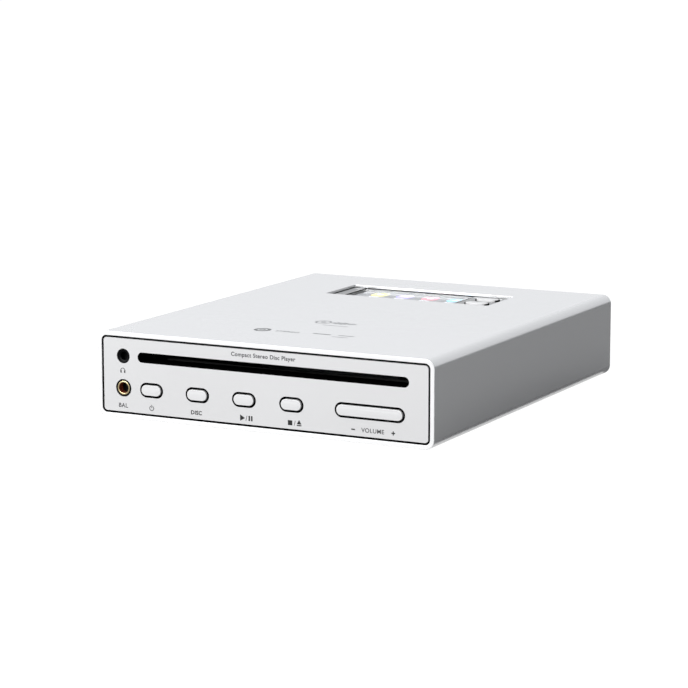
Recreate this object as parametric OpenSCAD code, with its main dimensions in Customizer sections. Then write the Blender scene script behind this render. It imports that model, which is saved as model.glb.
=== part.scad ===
// Slot-loading stereo disc player: an extruded sleeve, a front panel with a disc slot, keys and
// headphone jacks, a window with a display and two keys in the top, and a disc mechanism inside.
// Case coordinates: x from the middle, y back from the front edge of the sleeve, z up from its
// underside. in_case() moves them to the frame of the part, whose origin is the middle of its base.

/* [Case] */
// Width of the sleeve
body_w = 154; // [152:1:160]
// Height of the sleeve, without its feet
body_h = 36; // [36:0.5:38]
// Depth of the sleeve
body_d = 186; // [184:1:192]
// Outer corner radius of the sleeve
corner_r = 4; // [3.5:0.5:5]
// Wall thickness of the sleeve
wall = 1.8; // [1.6:0.1:1.9]
// Height of the feet below the sleeve
foot_h = 1.5; // [1:0.1:3]

/* [Front panel] */
// Width of the dark joint around the front panel
joint_w = 0.65; // [0.4:0.05:0.7]
// Thickness of the front panel
panel_t = 3; // [2.5:0.1:3]
// Distance of the front panel behind the sleeve's edge
panel_set = 0.2; // [0:0.05:0.4]
// Length of the disc slot
slot_len = 124; // [123:0.5:126]
// Height of the disc slot
slot_h = 4.3; // [4.2:0.1:4.6]
// Middle of the disc slot across the case
slot_x = 4; // [3:0.5:4]
// Height of the disc slot and the headphone jack
slot_z = 26; // [25.5:0.5:26]
// Height of the row of keys and the balanced jack
key_z = 12.6; // [12:0.1:13]
// Middle of the first key
first_key_x = -51.45; // [-52:0.05:-51]
// Distance from one key to the next
key_pitch = 21.75; // [21:0.05:22]
// Width of a key
key_w = 9.2; // [9:0.1:10]
// Height of every front key
key_h = 4.4; // [4:0.1:4.6]
// Width of the volume rocker
rocker_w = 29.2; // [28:0.1:29.4]
// Middle of the volume rocker
rocker_x = 48.8; // [48:0.1:49]
// Gap around a key
key_gap = 0.8; // [0.6:0.05:0.9]
// How far the front keys stand out
key_proud = 0.4; // [0.2:0.1:1.2]
// Middle of both headphone jacks
jack_x = -64.9; // [-65:0.1:-64.8]

/* [Top window] */
// Width of the window
window_w = 80; // [78:1:82]
// Depth of the window, front to back
window_d = 29; // [28.6:0.1:30]
// Distance of the window from the front
window_y = 132.5; // [132:0.5:133]
// Width of the display glass
glass_w = 54.2; // [52:0.1:55]
// Middle of the display glass
glass_x = -6.1; // [-7:0.1:-6]
// Middle of the two skip keys
skip_x = 31; // [30:0.5:31]
// Distance between the two skip keys
skip_pitch = 11.7; // [11:0.1:12]

/* [Mechanism] */
// Distance of the disc's axis from the front
disc_y = 82; // [82:0.5:83]
// Lift of the traverse when a disc is clamped
traverse_lift = 3.2; // [3:0.1:3.2]
// Travel of the cam slider
cam_travel = 12; // [10:1:12]
// Travel of the pickup from the first to the last track
sled_travel = 34; // [33:0.5:34]
// Module of the loading gears
gear_module = 0.75; // [0.7:0.05:0.75]

/* [Hidden] */
$fn = 48;
over = 1;                                   // how far a cutting tool runs past a face
front_y = -(body_d - key_proud) / 2;        // the sleeve's front edge in the part's frame
top_in = body_h - wall;                     // underside of the sleeve's top wall
panel_edge = wall + joint_w;                // distance of the panel's edge from the sleeve's
panel_back = panel_set + panel_t;
channel_r = 2.8;
channel_bore_r = 1.25;
channel_in = wall + 2.2;                    // channel axis from the sleeve's outer faces
channel_y = panel_back + 0.1;
gasket_set = 0.1;                           // joint filler's distance behind the panel's face
flange_y = panel_back + 0.2;                // front of a key's flange, behind the panel
flange_t = 1;
flange_rim = 1.2;
rocker_y = 4.1;                             // front of the rocker's flange
stem_r = 1.5;
stem_end = 5.7;
rear_t = 2;
rear_set = 1.2;                             // distance of the rear panel inside the sleeve's end
rear_y = body_d - rear_set - rear_t;        // inner face of the rear panel
foot_x = 60;
foot_inset = 16;
foot_r = 6;
foot_sunk = 0.5;
foot_screw_r = 1.4;
tray_z = wall + 0.1;
tray_t = 1.2;
tray_top = tray_z + tray_t;
switch_y = 6.4;                             // tip of the front switches
front_board_y = 9;
window_mid = window_y + window_d / 2;
window_sunk = 1.35;                         // depth of the window's floor below the top
window_z = body_h - window_sunk;
glass_d = window_d - 1;
bezel_rim = 2;                              // how far the bezel reaches under the sleeve
bezel_t = 0.95;
bezel_z = top_in - 0.05 - bezel_t;
glass_gap = 0.25;
skip_w = 10.9;
skip_d = 5.4;
skip_top = body_h - 0.4;
skip_gap = 0.35;
skip_flange_t = 0.6;
top_board_top = 31;
top_board_z = 29.9;
loader_half = 62.5;                         // outer half width of the loader around slot_x
loader_z = 10.5;
loader_front = 13;
loader_back = 150;
loader_top = slot_z + 2.4;
sheet = 1;                                  // thickness of the pressed steel
post_x = [slot_x - 57.5, slot_x + 57.5];
post_y = [30, 130];
roller_at = [17, 20.5];                     // y and z of the feed roller's axis
pivot_at = [31.8, 18.06];                   // y and z of the roller arm's axis
pinion_teeth = 12;
gear_teeth = 24;
motor_y = pivot_at[0] + gear_module * (pinion_teeth + gear_teeth) / 2;
belt_x = slot_x + 63.4;                     // left face of the pulleys
gear_x = slot_x + 65.8;
clamp_hinge = [146, 28.2];                  // y and z of the clamp arm's axis
frame_z = 13;
pin_z = frame_z + 1;                        // height of the pins that lift the traverse
pin_y = [disc_y, disc_y + 40];
rod_z = 17;
rod_x = 24;
screw_x = 33;
screw_pitch = 3;
lens_y = disc_y + 24;                       // the lens over the first track
last_y = lens_y + sled_travel;              // the lens over the last track
frame_back = last_y + 8.4;
ports_z = 6.8;                              // top of the main board
usb_x = 50;
optical_x = 22;
coaxial_x = -8;
line_x = -34;

// ---------- shapes ----------

module in_case() {
    translate([0, front_y, foot_h]) children();
}

// A box given by its lowest and highest corners
module block(low, high) {
    translate(low) cube(high - low);
}

// A flat shape in x and z, given thickness from y0 to y1
module along_y(y0, y1) {
    translate([0, y1, 0]) rotate([90, 0, 0]) linear_extrude(y1 - y0) children();
}

// A flat shape in y and z, given thickness from x0 to x1
module along_x(x0, x1) {
    translate([x0, 0, 0]) rotate([90, 0, 90]) linear_extrude(x1 - x0) children();
}

// A round bar along y
module bar_y(x, z, r, y0, y1) {
    translate([x, y1, z]) rotate([90, 0, 0]) cylinder(r = r, h = y1 - y0);
}

// A round bar along x through [y, z]
module bar_x(p, r, x0, x1) {
    translate([x0, p[0], p[1]]) rotate([0, 90, 0]) cylinder(r = r, h = x1 - x0);
}

// A round bar along z
module bar_z(x, y, r, z0, z1) {
    translate([x, y, z0]) cylinder(r = r, h = z1 - z0);
}

module rounded(w, h, r) {
    square([w - 2 * r, h], center = true);
    square([w, h - 2 * r], center = true);
    for (x = [-1, 1], y = [-1, 1]) {
        translate([x * (w / 2 - r), y * (h / 2 - r)]) circle(r);
    }
}

// A pill: a bar with round ends, longer across than high
module pill(w, h) {
    square([w - h, h], center = true);
    for (x = [-1, 1]) {
        translate([x * (w - h) / 2, 0]) circle(h / 2);
    }
}

// A bar with round ends from point p to point q
module stadium(p, q, r) hull() {
    translate(p) circle(r, $fn = 32);
    translate(q) circle(r, $fn = 32);
}

// The case's outline in x and z, taken in by inset
module case_outline(inset) {
    translate([0, body_h / 2]) {
        rounded(body_w - 2 * inset, body_h - 2 * inset, corner_r - inset);
    }
}

module corners(inset) {
    for (x = [-1, 1], z = [inset, body_h - inset]) {
        translate([x * (body_w / 2 - inset), z]) children();
    }
}

module feet_places() {
    for (x = [-foot_x, foot_x], y = [foot_inset, body_d - foot_inset]) {
        translate([x, y, 0]) children();
    }
}

module post_places() {
    for (x = post_x, y = post_y) {
        translate([x, y, 0]) children();
    }
}

function key_x(i) = first_key_x + i * key_pitch;

// ---------- casing ----------

module main_housing() color("gainsboro") in_case() difference() {
    union() {
        along_y(0, body_d) difference() {
            case_outline(0);
            case_outline(wall);
        }
        along_y(channel_y, rear_y - 0.1) difference() {
            intersection() {
                case_outline(0.4);
                corners(channel_in) circle(channel_r);
            }
            corners(channel_in) circle(channel_bore_r);
        }
    }
    along_y(channel_y - over, rear_y + over) corners(channel_in) circle(channel_bore_r);
    translate([0, window_mid, top_in - over]) {
        linear_extrude(wall + 2 * over) rounded(window_w, window_d, 1);
    }
    feet_places() {
        translate([0, 0, -over]) cylinder(r = foot_r + 0.15, h = foot_sunk + 0.1 + over);
        translate([0, 0, -over]) cylinder(r = 1.6, h = wall + 2 * over);
    }
}

module front_panel() color("whitesmoke") in_case() difference() {
    union() {
        along_y(panel_set, panel_back) case_outline(panel_edge);
        for (x = [-1, 1], z = [channel_in, body_h - channel_in]) {
            bar_y(x * (body_w / 2 - channel_in), z, channel_bore_r - 0.05, panel_back - 0.5, 10);
        }
        for (s = [-1, 1]) {
            translate([rocker_x, 4.3, key_z + s * 4.2]) cube([3.2, 2.6, 1.2], center = true);
        }
    }
    along_y(panel_set - over, panel_back + over) {
        translate([slot_x, slot_z]) pill(slot_len, slot_h);
        for (i = [0:3]) {
            translate([key_x(i), key_z]) pill(key_w + 2 * key_gap, key_h + 2 * key_gap);
        }
        translate([rocker_x, key_z]) pill(rocker_w + 2 * key_gap, key_h + 2 * key_gap);
        translate([jack_x, slot_z]) circle(3.1);
        translate([jack_x, key_z]) circle(3.7);
    }
    bar_z(rocker_x, 4.6, 0.95, key_z - 6, key_z + 6);
}

module panel_gasket() color("black") in_case() {
    along_y(panel_set + gasket_set, panel_back) difference() {
        case_outline(wall + 0.04);
        case_outline(panel_edge - 0.04);
    }
}

module rear_panel() color("silver") in_case() difference() {
    along_y(rear_y, rear_y + rear_t) case_outline(wall + 0.1);
    along_y(rear_y - over, rear_y + rear_t + over) {
        corners(channel_in) circle(1.6);
        translate([usb_x, ports_z + 1.7]) pill(9.6, 3.8);
        translate([optical_x, ports_z + 5]) square([10.4, 10.4], center = true);
        translate([coaxial_x, ports_z + 4]) circle(3.1);
        translate([line_x, ports_z + 4]) circle(3.1);
    }
}

module rear_screws() color("dimgray") in_case() {
    for (x = [-1, 1], z = [channel_in, body_h - channel_in]) {
        bar_y(x * (body_w / 2 - channel_in), z, channel_bore_r - 0.05, rear_y - 6, rear_y + rear_t);
        difference() {
            bar_y(x * (body_w / 2 - channel_in), z, 2.05, rear_y + rear_t, rear_y + rear_t + 1);
            bar_y(x * (body_w / 2 - channel_in), z, 0.9, rear_y + rear_t + 0.4, body_d);
        }
    }
}

module rubber_feet() color("darkslategray") in_case() feet_places() difference() {
    translate([0, 0, -foot_h]) cylinder(r = foot_r, h = foot_h + foot_sunk);
    translate([0, 0, -foot_h - over]) cylinder(r = 3.1, h = foot_h - 0.3 + over);
    translate([0, 0, -over]) cylinder(r = 1.7, h = 3);
}

module foot_screws() color("dimgray") in_case() feet_places() {
    translate([0, 0, -0.3]) cylinder(r = foot_screw_r, h = 4.9);
    translate([0, 0, -foot_h + 0.2]) cylinder(r = 2.9, h = foot_h - 0.5);
}

module chassis_tray() color("lightsteelblue") in_case() difference() {
    union() {
        block([-69, 6, tray_z], [69, body_d - 5, tray_top]);
        feet_places() translate([0, 0, tray_z]) cylinder(r = 3, h = 3.1);
        post_places() translate([0, 0, tray_z]) cylinder(r = 3, h = loader_z - 1 - tray_z);
        for (x = [-64, 64], y = [90, 178]) {
            bar_z(x, y, 2.5, tray_z, 5.2);
        }
    }
    feet_places() translate([0, 0, 0]) cylinder(r = foot_screw_r + 0.05, h = 8);
    post_places() translate([0, 0, 4]) cylinder(r = 1.1, h = 8);
}

// ---------- front keys ----------

module key(x) color("white") in_case() {
    along_y(-key_proud, flange_y) translate([x, key_z]) pill(key_w, key_h);
    along_y(flange_y, flange_y + flange_t) {
        translate([x, key_z]) pill(key_w + 2 * flange_rim, key_h + 2 * flange_rim);
    }
    bar_y(x, key_z, stem_r, flange_y + flange_t, stem_end);
}

module power_button() key(key_x(0));
module source_button() key(key_x(1));
module play_button() key(key_x(2));
module stop_button() key(key_x(3));

module volume_rocker() color("white") in_case() {
    along_y(-key_proud, rocker_y) translate([rocker_x, key_z]) pill(rocker_w, key_h);
    along_y(rocker_y, rocker_y + flange_t) {
        translate([rocker_x, key_z]) pill(rocker_w + 2 * flange_rim, key_h + 2 * flange_rim);
    }
    bar_z(rocker_x, 4.6, 0.9, key_z - 4.7, key_z + 4.7);
    for (s = [-1, 1]) {
        bar_y(rocker_x + s * 10, key_z, 1.5, 5, 6);
    }
}

module front_board() color("darkgreen") in_case() difference() {
    block([-58.5, front_board_y, 4], [66, front_board_y + 1.6, 21.3]);
    for (x = [-55, 0, 63], z = [6, 19]) {
        bar_y(x, z, 1, front_board_y - over, front_board_y + 3);
    }
}

module front_switches() color("dimgray") in_case() {
    for (x = [key_x(0), key_x(1), key_x(2), key_x(3), rocker_x - 10, rocker_x + 10]) {
        block([x - 3, 7, key_z - 3], [x + 3, front_board_y - 0.01, key_z + 3]);
        bar_y(x, key_z, 1.6, switch_y, 7.1);
    }
}

// ---------- headphone jacks ----------

module headphone_jack() color("black") in_case() difference() {
    union() {
        block([jack_x - 3.7, panel_back + 0.2, slot_z - 3.7], [jack_x + 3.7, 17, slot_z + 3.7]);
        bar_y(jack_x, slot_z, 3, panel_set + 0.1, panel_back + 1);
    }
    bar_y(jack_x, slot_z, 1.8, -over, 15);
    bar_y(jack_x, slot_z, 2.4, -over, panel_set + 0.5);
}

module balanced_jack() color("black") in_case() difference() {
    union() {
        block([jack_x - 4.5, panel_back + 0.2, key_z - 4.5], [jack_x + 4.5, 24, key_z + 4.5]);
        bar_y(jack_x, key_z, 3.6, panel_set + 0.1, panel_back + 1);
    }
    bar_y(jack_x, key_z, 2.25, -over, 22);
    bar_y(jack_x, key_z, 2.95, -over, 4);
}

module balanced_jack_ring() color("gold") in_case() difference() {
    bar_y(jack_x, key_z, 2.9, panel_set, 3.95);
    bar_y(jack_x, key_z, 2.3, -over, 5);
}

module jack_board() color("darkgreen") in_case() {
    block([-71, 5, 7.5], [jack_x - 4.55, 40, 28.5]);
}

// ---------- disc slot ----------

module slot_guide() color("black") in_case() difference() {
    block([slot_x - 65, panel_back + 0.2, slot_z - 4.4], [slot_x + 65, 11.8, slot_z + 4.6]);
    block([slot_x - 62.5, 0, slot_z - slot_h / 2 - 0.8],
          [slot_x + 62.5, 20, slot_z + slot_h / 2 + 0.8]);
}

module slot_felts() color("darkslategray") in_case() {
    for (s = [-1, 1]) {
        translate([slot_x, 7.6, slot_z + s * (slot_h / 2 + 0.39)]) {
            cube([slot_len + 0.4, 8, 0.76], center = true);
        }
    }
}

// ---------- window in the top ----------

module display_bezel() color("darkgray") in_case() difference() {
    translate([0, window_mid, bezel_z]) {
        linear_extrude(bezel_t) rounded(window_w + 2 * bezel_rim, window_d + 2 * bezel_rim, 1);
        linear_extrude(window_z - bezel_z) rounded(window_w - 0.1, window_d - 0.1, 0.95);
    }
    translate([glass_x, window_mid, bezel_z - over]) linear_extrude(4) {
        square([glass_w + 2 * glass_gap, glass_d + 2 * glass_gap], center = true);
    }
    skip_places() linear_extrude(4) pill(skip_w + 2 * skip_gap, skip_d + 2 * skip_gap);
}

module skip_places() {
    for (s = [-1, 1]) {
        translate([skip_x, window_mid + s * skip_pitch / 2, bezel_z - over]) children();
    }
}

module display_glass() color("black", 0.6) in_case() {
    translate([glass_x, window_mid, bezel_z + 0.05]) {
        linear_extrude(window_z - bezel_z - 0.05) square([glass_w, glass_d], center = true);
    }
}

module display_panel() color("midnightblue") in_case() {
    display_z = top_board_top + 0.1;
    translate([glass_x, window_mid, (display_z + bezel_z) / 2]) {
        cube([glass_w - 4, glass_d - 3, bezel_z - display_z], center = true);
    }
}

module top_board() color("darkgreen") in_case() {
    reach = window_d / 2 + bezel_rim;
    block([glass_x - 30, window_mid - reach, top_board_z], [skip_x + 9, window_mid + reach, top_board_top]);
}

module top_switches() color("dimgray") in_case() {
    for (s = [-1, 1]) {
        y = window_mid + s * skip_pitch / 2;
        base = top_board_top + 0.01;
        block([skip_x - 2.5, y - 2.5, base], [skip_x + 2.5, y + 2.5, base + 0.5]);
        bar_z(skip_x, y, 1.2, base + 0.4, base + 0.8);
    }
}

module skip_key(side) color("white") in_case() {
    translate([skip_x, window_mid + side * skip_pitch / 2, 0]) {
        translate([0, 0, bezel_z - 0.2]) linear_extrude(skip_top - bezel_z + 0.2) {
            pill(skip_w, skip_d);
        }
        translate([0, 0, bezel_z - 0.2 - skip_flange_t]) linear_extrude(skip_flange_t) {
            pill(skip_w + 1.6, skip_d + 1.6);
        }
    }
}

module skip_back_button() skip_key(-1);
module skip_forward_button() skip_key(1);

module display_ribbon() color("orange") in_case() along_x(0, 14) {
    polygon([
        [160, 29.5], [167.7, 29.5], [167.7, 7.1], [171, 7.1], [171, 6.85], [167.4, 6.85],
        [167.4, 29.2], [159.5, 29.2], [159.5, 29.85], [160, 29.85]
    ]);
}

// ---------- power and signal boards ----------

module battery_pack() color("steelblue") in_case() {
    translate([slot_x, 46, 3.3]) linear_extrude(6.3) rounded(104, 64, 2);
}

module main_board() color("darkgreen") in_case() difference() {
    block([-69, 84, 5.25], [69, 182.4, ports_z]);
    post_places() cylinder(r = 3.8, h = 9);
}

module board_chips() color("black") in_case() {
    for (c = [[-22, 96, 12, 12], [10, 98, 9, 9], [32, 96, 7, 7], [-22, 122, 8, 8], [38, 128, 10, 6],
              [-58, 164, 7, 7], [52, 150, 8, 8]]) {
        block([c[0], c[1], ports_z + 0.02], [c[0] + c[2], c[1] + c[3], ports_z + 1.4]);
    }
}

module capacitors() color("goldenrod") in_case() {
    for (i = [0:5]) {
        bar_z(-62 + 10 * i, 157 - 1.5 * (i % 2), 3.6, ports_z + 0.02, ports_z + 12);
    }
}

module shield_can() color("silver") in_case() difference() {
    block([0, 112, ports_z + 0.02], [32, 140, ports_z + 3]);
    block([0.3, 112.3, ports_z - 1], [31.7, 139.7, ports_z + 2.7]);
}

module usb_socket() color("silver") in_case() translate([usb_x, 0, ports_z + 1.7]) {
    difference() {
        along_y(177, 184.9) pill(9, 3.3);
        along_y(178, body_d) pill(8.4, 2.7);
    }
    translate([0, 180.7, 0]) cube([6.6, 6, 0.7], center = true);
}

module optical_socket() color("black") in_case() difference() {
    block([optical_x - 5, 172.5, ports_z + 0.02], [optical_x + 5, 184.8, ports_z + 10]);
    block([optical_x - 3.1, 176, ports_z + 1.9], [optical_x + 3.1, body_d, ports_z + 8.1]);
}

module rear_jack(x) color("black") in_case() difference() {
    union() {
        block([x - 3.9, 170, ports_z + 0.02], [x + 3.9, rear_y - 0.1, ports_z + 8]);
        bar_y(x, ports_z + 4, 3, rear_y - 1, rear_y + 1.8);
    }
    bar_y(x, ports_z + 4, 1.8, rear_y - 12, rear_y + 4);
}

module coaxial_jack() rear_jack(coaxial_x);
module line_out_jack() rear_jack(line_x);

// ---------- loader ----------

module loader_base() color("lightgray") in_case() difference() {
    union() {
        block([slot_x - loader_half, loader_front, loader_z],
              [slot_x + loader_half, loader_back, loader_z + sheet]);
        for (x = [-loader_half, loader_half - sheet]) {
            block([slot_x + x, loader_front, loader_z],
                  [slot_x + x + sheet, loader_back, loader_top]);
        }
        block([slot_x - loader_half, loader_back - sheet, loader_z],
              [slot_x + loader_half, loader_back, loader_top]);
        for (s = [-1, 1]) {
            block([slot_x + s * 17 - 1, clamp_hinge[0] - 2.4, 26.6],
                  [slot_x + s * 17 + 1, loader_back, 29.6]);
        }
    }
    post_places() translate([0, 0, loader_z - over]) cylinder(r = 2.5, h = 3);
    bar_x(pivot_at, 1.55, slot_x - 70, slot_x + 70);
    bar_x([motor_y, pivot_at[1]], 1.6, slot_x + 55, slot_x + 70);
    bar_x(clamp_hinge, 1.05, slot_x - 20, slot_x + 20);
    for (s = [-1, 1]) {
        translate([slot_x + s * 62, roller_at[0] + 0.2, roller_at[1] + 1]) {
            cube([4, 4, 5.6], center = true);
        }
    }
    for (y = pin_y) {
        translate([slot_x, y, pin_z + traverse_lift / 2]) {
            cube([2 * loader_half + 2, 2.3, traverse_lift + 2.6], center = true);
        }
    }
}

module loader_lid() color("lightgray") in_case() difference() {
    block([slot_x - loader_half, loader_front, loader_top + 0.01],
          [slot_x + loader_half, 142, loader_top + sheet]);
    block([slot_x - 15, disc_y - 16, loader_top - over], [slot_x + 15, 143, loader_top + 3]);
    for (x = [slot_x - 40, slot_x + 40]) {
        bar_z(x, 55, 10, loader_top - over, loader_top + 3);
    }
}

module damper_grommets() color("saddlebrown") in_case() post_places() {
    translate([0, 0, loader_z - 1]) difference() {
        union() {
            cylinder(r = 3.6, h = 0.98);
            cylinder(r = 2.4, h = 3);
            translate([0, 0, 2.02]) cylinder(r = 3.6, h = 0.98);
        }
        translate([0, 0, -over]) cylinder(r = 1.6, h = 6);
    }
}

module damper_screws() color("dimgray") in_case() post_places() {
    translate([0, 0, 5]) cylinder(r = 1.05, h = 4.6);
    translate([0, 0, loader_z - 0.95]) cylinder(r = 1.5, h = 3);
    translate([0, 0, loader_z + 2.03]) cylinder(r = 2.8, h = 1.1);
}

module roller_arm() color("silver") in_case() difference() {
    union() {
        bar_x(pivot_at, 1.5, slot_x - 63.2, slot_x + 69);
        for (x = [slot_x - 60.3, slot_x + 59.3]) {
            along_x(x, x + sheet) stadium(roller_at, pivot_at, 2.8);
        }
        block([slot_x - 60.3, 27, 15.3], [slot_x + 60.3, 30.5, 16.3]);
    }
    bar_x(roller_at, 1.25, slot_x - 62, slot_x + 62);
}

module feed_roller() color("dimgray") in_case() {
    bar_x(roller_at, 1.2, slot_x - 61.2, slot_x + 65.4);
    translate([slot_x, roller_at[0], roller_at[1]]) rotate([0, 90, 0]) rotate_extrude() {
        polygon([[1.15, -57], [3, -57], [3, -52], [2.3, 0], [3, 52], [3, 57], [1.15, 57]]);
    }
}

// A pulley with one groove, its left face at x = 0
module pulley(bore) {
    difference() {
        union() {
            cylinder(r = 4.4, h = 0.5);
            cylinder(r = 3.5, h = 2);
            translate([0, 0, 1.5]) cylinder(r = 4.4, h = 0.5);
        }
        translate([0, 0, -over]) cylinder(r = bore, h = 4);
    }
}

module roller_pulley() color("ivory") in_case() {
    translate([belt_x, roller_at[0], roller_at[1]]) rotate([0, 90, 0]) pulley(1.2);
}

module drive_belt() color("black") in_case() {
    along_x(belt_x + 0.6, belt_x + 1.4) difference() {
        stadium(roller_at, pivot_at, 4.2);
        stadium(roller_at, pivot_at, 3.6);
    }
}

// One side of an involute tooth, from the base circle to the tip, as [radius, angle] pairs
function flank(base, tip, steps) = [
    for (i = [0:steps])
        let (r = base + (tip - base) * i / steps, t = sqrt(max(0, pow(r / base, 2) - 1)))
            [r, t * 180 / PI - atan(t)]
];

function polar(r, a) = [r * cos(a), r * sin(a)];

// The outline of a spur gear with involute teeth; the first tooth points along x
module gear_outline(teeth) {
    pressure = 25;
    pitch_r = gear_module * teeth / 2;
    base_r = pitch_r * cos(pressure);
    side = flank(base_r, pitch_r + 0.8 * gear_module, 4);
    half = 90 / teeth + tan(pressure) * 180 / PI - pressure - 0.11 / pitch_r * 180 / PI;
    root_r = pitch_r - 1.1 * gear_module;
    polygon([
        for (k = [0:teeth - 1])
            let (a = k * 360 / teeth)
                each concat(
                    [polar(min(root_r, base_r), a - half)],
                    [for (p = side) polar(p[0], a - half + p[1])],
                    [for (i = [4:-1:0]) polar(side[i][0], a + half - side[i][1])],
                    [polar(min(root_r, base_r), a + half)]
                )
    ]);
}

module drive_gear() color("ivory") in_case() difference() {
    union() {
        translate([belt_x, pivot_at[0], pivot_at[1]]) rotate([0, 90, 0]) pulley(1.55);
        bar_x(pivot_at, 3, belt_x + 1.9, gear_x + 0.1);
        along_x(gear_x, gear_x + 1.8) translate(pivot_at) gear_outline(gear_teeth);
    }
    bar_x(pivot_at, 1.55, belt_x - over, gear_x + 5);
}

module loading_motor() color("silver") in_case() {
    translate([slot_x + loader_half - sheet - 10, motor_y, pivot_at[1]]) intersection() {
        rotate([0, 90, 0]) cylinder(r = 6, h = 20, center = true);
        cube([21, 13, 10], center = true);
    }
}

module motor_pinion() color("ivory") in_case() {
    bar_x([motor_y, pivot_at[1]], 1, slot_x + loader_half - sheet, gear_x + 0.1);
    along_x(gear_x, gear_x + 1.8) translate([motor_y, pivot_at[1]]) {
        rotate(180 + 180 / pinion_teeth) gear_outline(pinion_teeth);
    }
}

// A slot that climbs as it runs forward, so that a pin in it rises as the slider moves back
module cam_slot(y) {
    along_x(slot_x - 70, slot_x - 55) {
        stadium([y, pin_z], [y - cam_travel, pin_z + traverse_lift], 1.15);
    }
}

module cam_slider() color("tan") in_case() difference() {
    block([slot_x - 64.1, disc_y - 18, 11.8], [slot_x - 62.7, disc_y + 46, 19.4]);
    for (y = pin_y) {
        cam_slot(y);
    }
}

// ---------- clamp ----------

module clamp_arm() color("silver") in_case() difference() {
    union() {
        bar_z(slot_x, disc_y, 11, 30, 31);
        block([slot_x - 9, disc_y, 30], [slot_x + 9, 127, 31]);
        block([slot_x - 9, 126, 27.8], [slot_x + 9, 127, 31]);
        block([slot_x - 9, 126, 27.8], [slot_x + 9, clamp_hinge[0], 28.8]);
        bar_x(clamp_hinge, 1.4, slot_x - 9, slot_x + 9);
        bar_x(clamp_hinge, 1, slot_x - 18.6, slot_x + 18.6);
    }
    bar_z(slot_x, disc_y, 7.5, 27, 33);
}

module clamp_puck() color("dimgray") in_case() difference() {
    union() {
        bar_z(slot_x, disc_y, 12, 28.3, 29.8);
        bar_z(slot_x, disc_y, 7, 29.7, 31.5);
        bar_z(slot_x, disc_y, 9.5, 31.4, 32.2);
    }
    bar_z(slot_x, disc_y, 8.2, 27, 29.6);
    bar_z(slot_x, disc_y, 2.5, 27, 30.6);
}

// ---------- traverse ----------

module traverse_frame() color("slategray") in_case() difference() {
    union() {
        block([slot_x - 38, 62, frame_z], [slot_x + 38, frame_back, frame_z + 2]);
        for (y = [[91, 94.8], [last_y + 5.2, frame_back]]) {
            block([slot_x - 31, y[0], frame_z + 2], [slot_x + 36.5, y[1], 19.5]);
        }
        for (y = pin_y) {
            bar_x([y, pin_z], 1, slot_x - 64, slot_x - 37);
            bar_x([y, pin_z], 1, slot_x + 37, slot_x + 62.3);
        }
    }
    block([slot_x - 20, lens_y - 10, frame_z - over], [slot_x + 20, last_y + 4, frame_z + 3]);
    block([slot_x + 28, 61, frame_z - over], [slot_x + 39, 85, frame_z + 3]);
    for (s = [-1, 1]) {
        bar_y(slot_x + s * rod_x, rod_z, 1.5, 90, 150);
    }
    bar_y(slot_x + screw_x, rod_z, 1.5, 80, 150);
}

module spindle_motor() color("silver") in_case() difference() {
    bar_z(slot_x, disc_y, 8.5, frame_z + 2.01, 20.3);
    bar_z(slot_x, disc_y, 1.05, frame_z + 3, 23);
}

module turntable() color("black") in_case() {
    bar_z(slot_x, disc_y, 1, frame_z + 3.2, 21);
    bar_z(slot_x, disc_y, 14, 20.7, 22.2);
    bar_z(slot_x, disc_y, 7.4, 22.1, 23.2);
    translate([slot_x, disc_y, 23.1]) cylinder(r1 = 7.2, r2 = 5.5, h = 0.6);
}

module guide_rods() color("silver") in_case() {
    for (s = [-1, 1]) {
        bar_y(slot_x + s * rod_x, rod_z, 1.48, 91.2, frame_back - 0.2);
    }
}

// Half of each pitch is the screw's full radius, and the rest is its groove
module lead_screw() color("silver") in_case() {
    turns = 16;
    translate([slot_x + screw_x, 84.1, rod_z]) rotate([-90, 0, 0]) {
        cylinder(r = 1, h = frame_back - 84.2);
        translate([0, 0, 11]) rotate_extrude() polygon(concat(
            [[0.9, 0]],
            [for (i = [0:turns - 1], p = [[1.4, 0], [1.4, 0.5], [1.1, 0.65], [1.1, 0.85]])
                [p[0], (i + p[1]) * screw_pitch]],
            [[0.9, turns * screw_pitch]]
        ));
    }
}

module sled_motor() color("silver") in_case() {
    bar_y(slot_x + screw_x, rod_z, 4, 64, 84);
}

module pickup_sled() color("slategray") in_case() difference() {
    union() {
        block([slot_x - 26.8, lens_y - 9, frame_z + 2.3], [slot_x + 26.8, lens_y + 4.5, 19.3]);
        block([slot_x - 18, lens_y - 8, 12.4], [slot_x + 18, lens_y + 3, 17]);
        block([slot_x + 26, lens_y - 4, frame_z + 2.6], [slot_x + 35.6, lens_y, 19]);
    }
    for (s = [-1, 1]) {
        bar_y(slot_x + s * rod_x, rod_z, 1.56, 60, 150);
    }
    bar_y(slot_x + screw_x, rod_z, 1.5, 60, 150);
    translate([slot_x, lens_y - 0.5, 19.3]) cube([15, 8.6, 3], center = true);
}

module pickup_lens() color("lightcyan") in_case() {
    block([slot_x - 6, lens_y - 4.3, 18.4], [slot_x + 6, lens_y + 3.3, 19.6]);
    translate([slot_x, lens_y, 19.5]) cylinder(r1 = 3, r2 = 2.6, h = 1);
    bar_z(slot_x, lens_y, 2, 20.4, 20.8);
}

// ---------- nodes ----------

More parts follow.
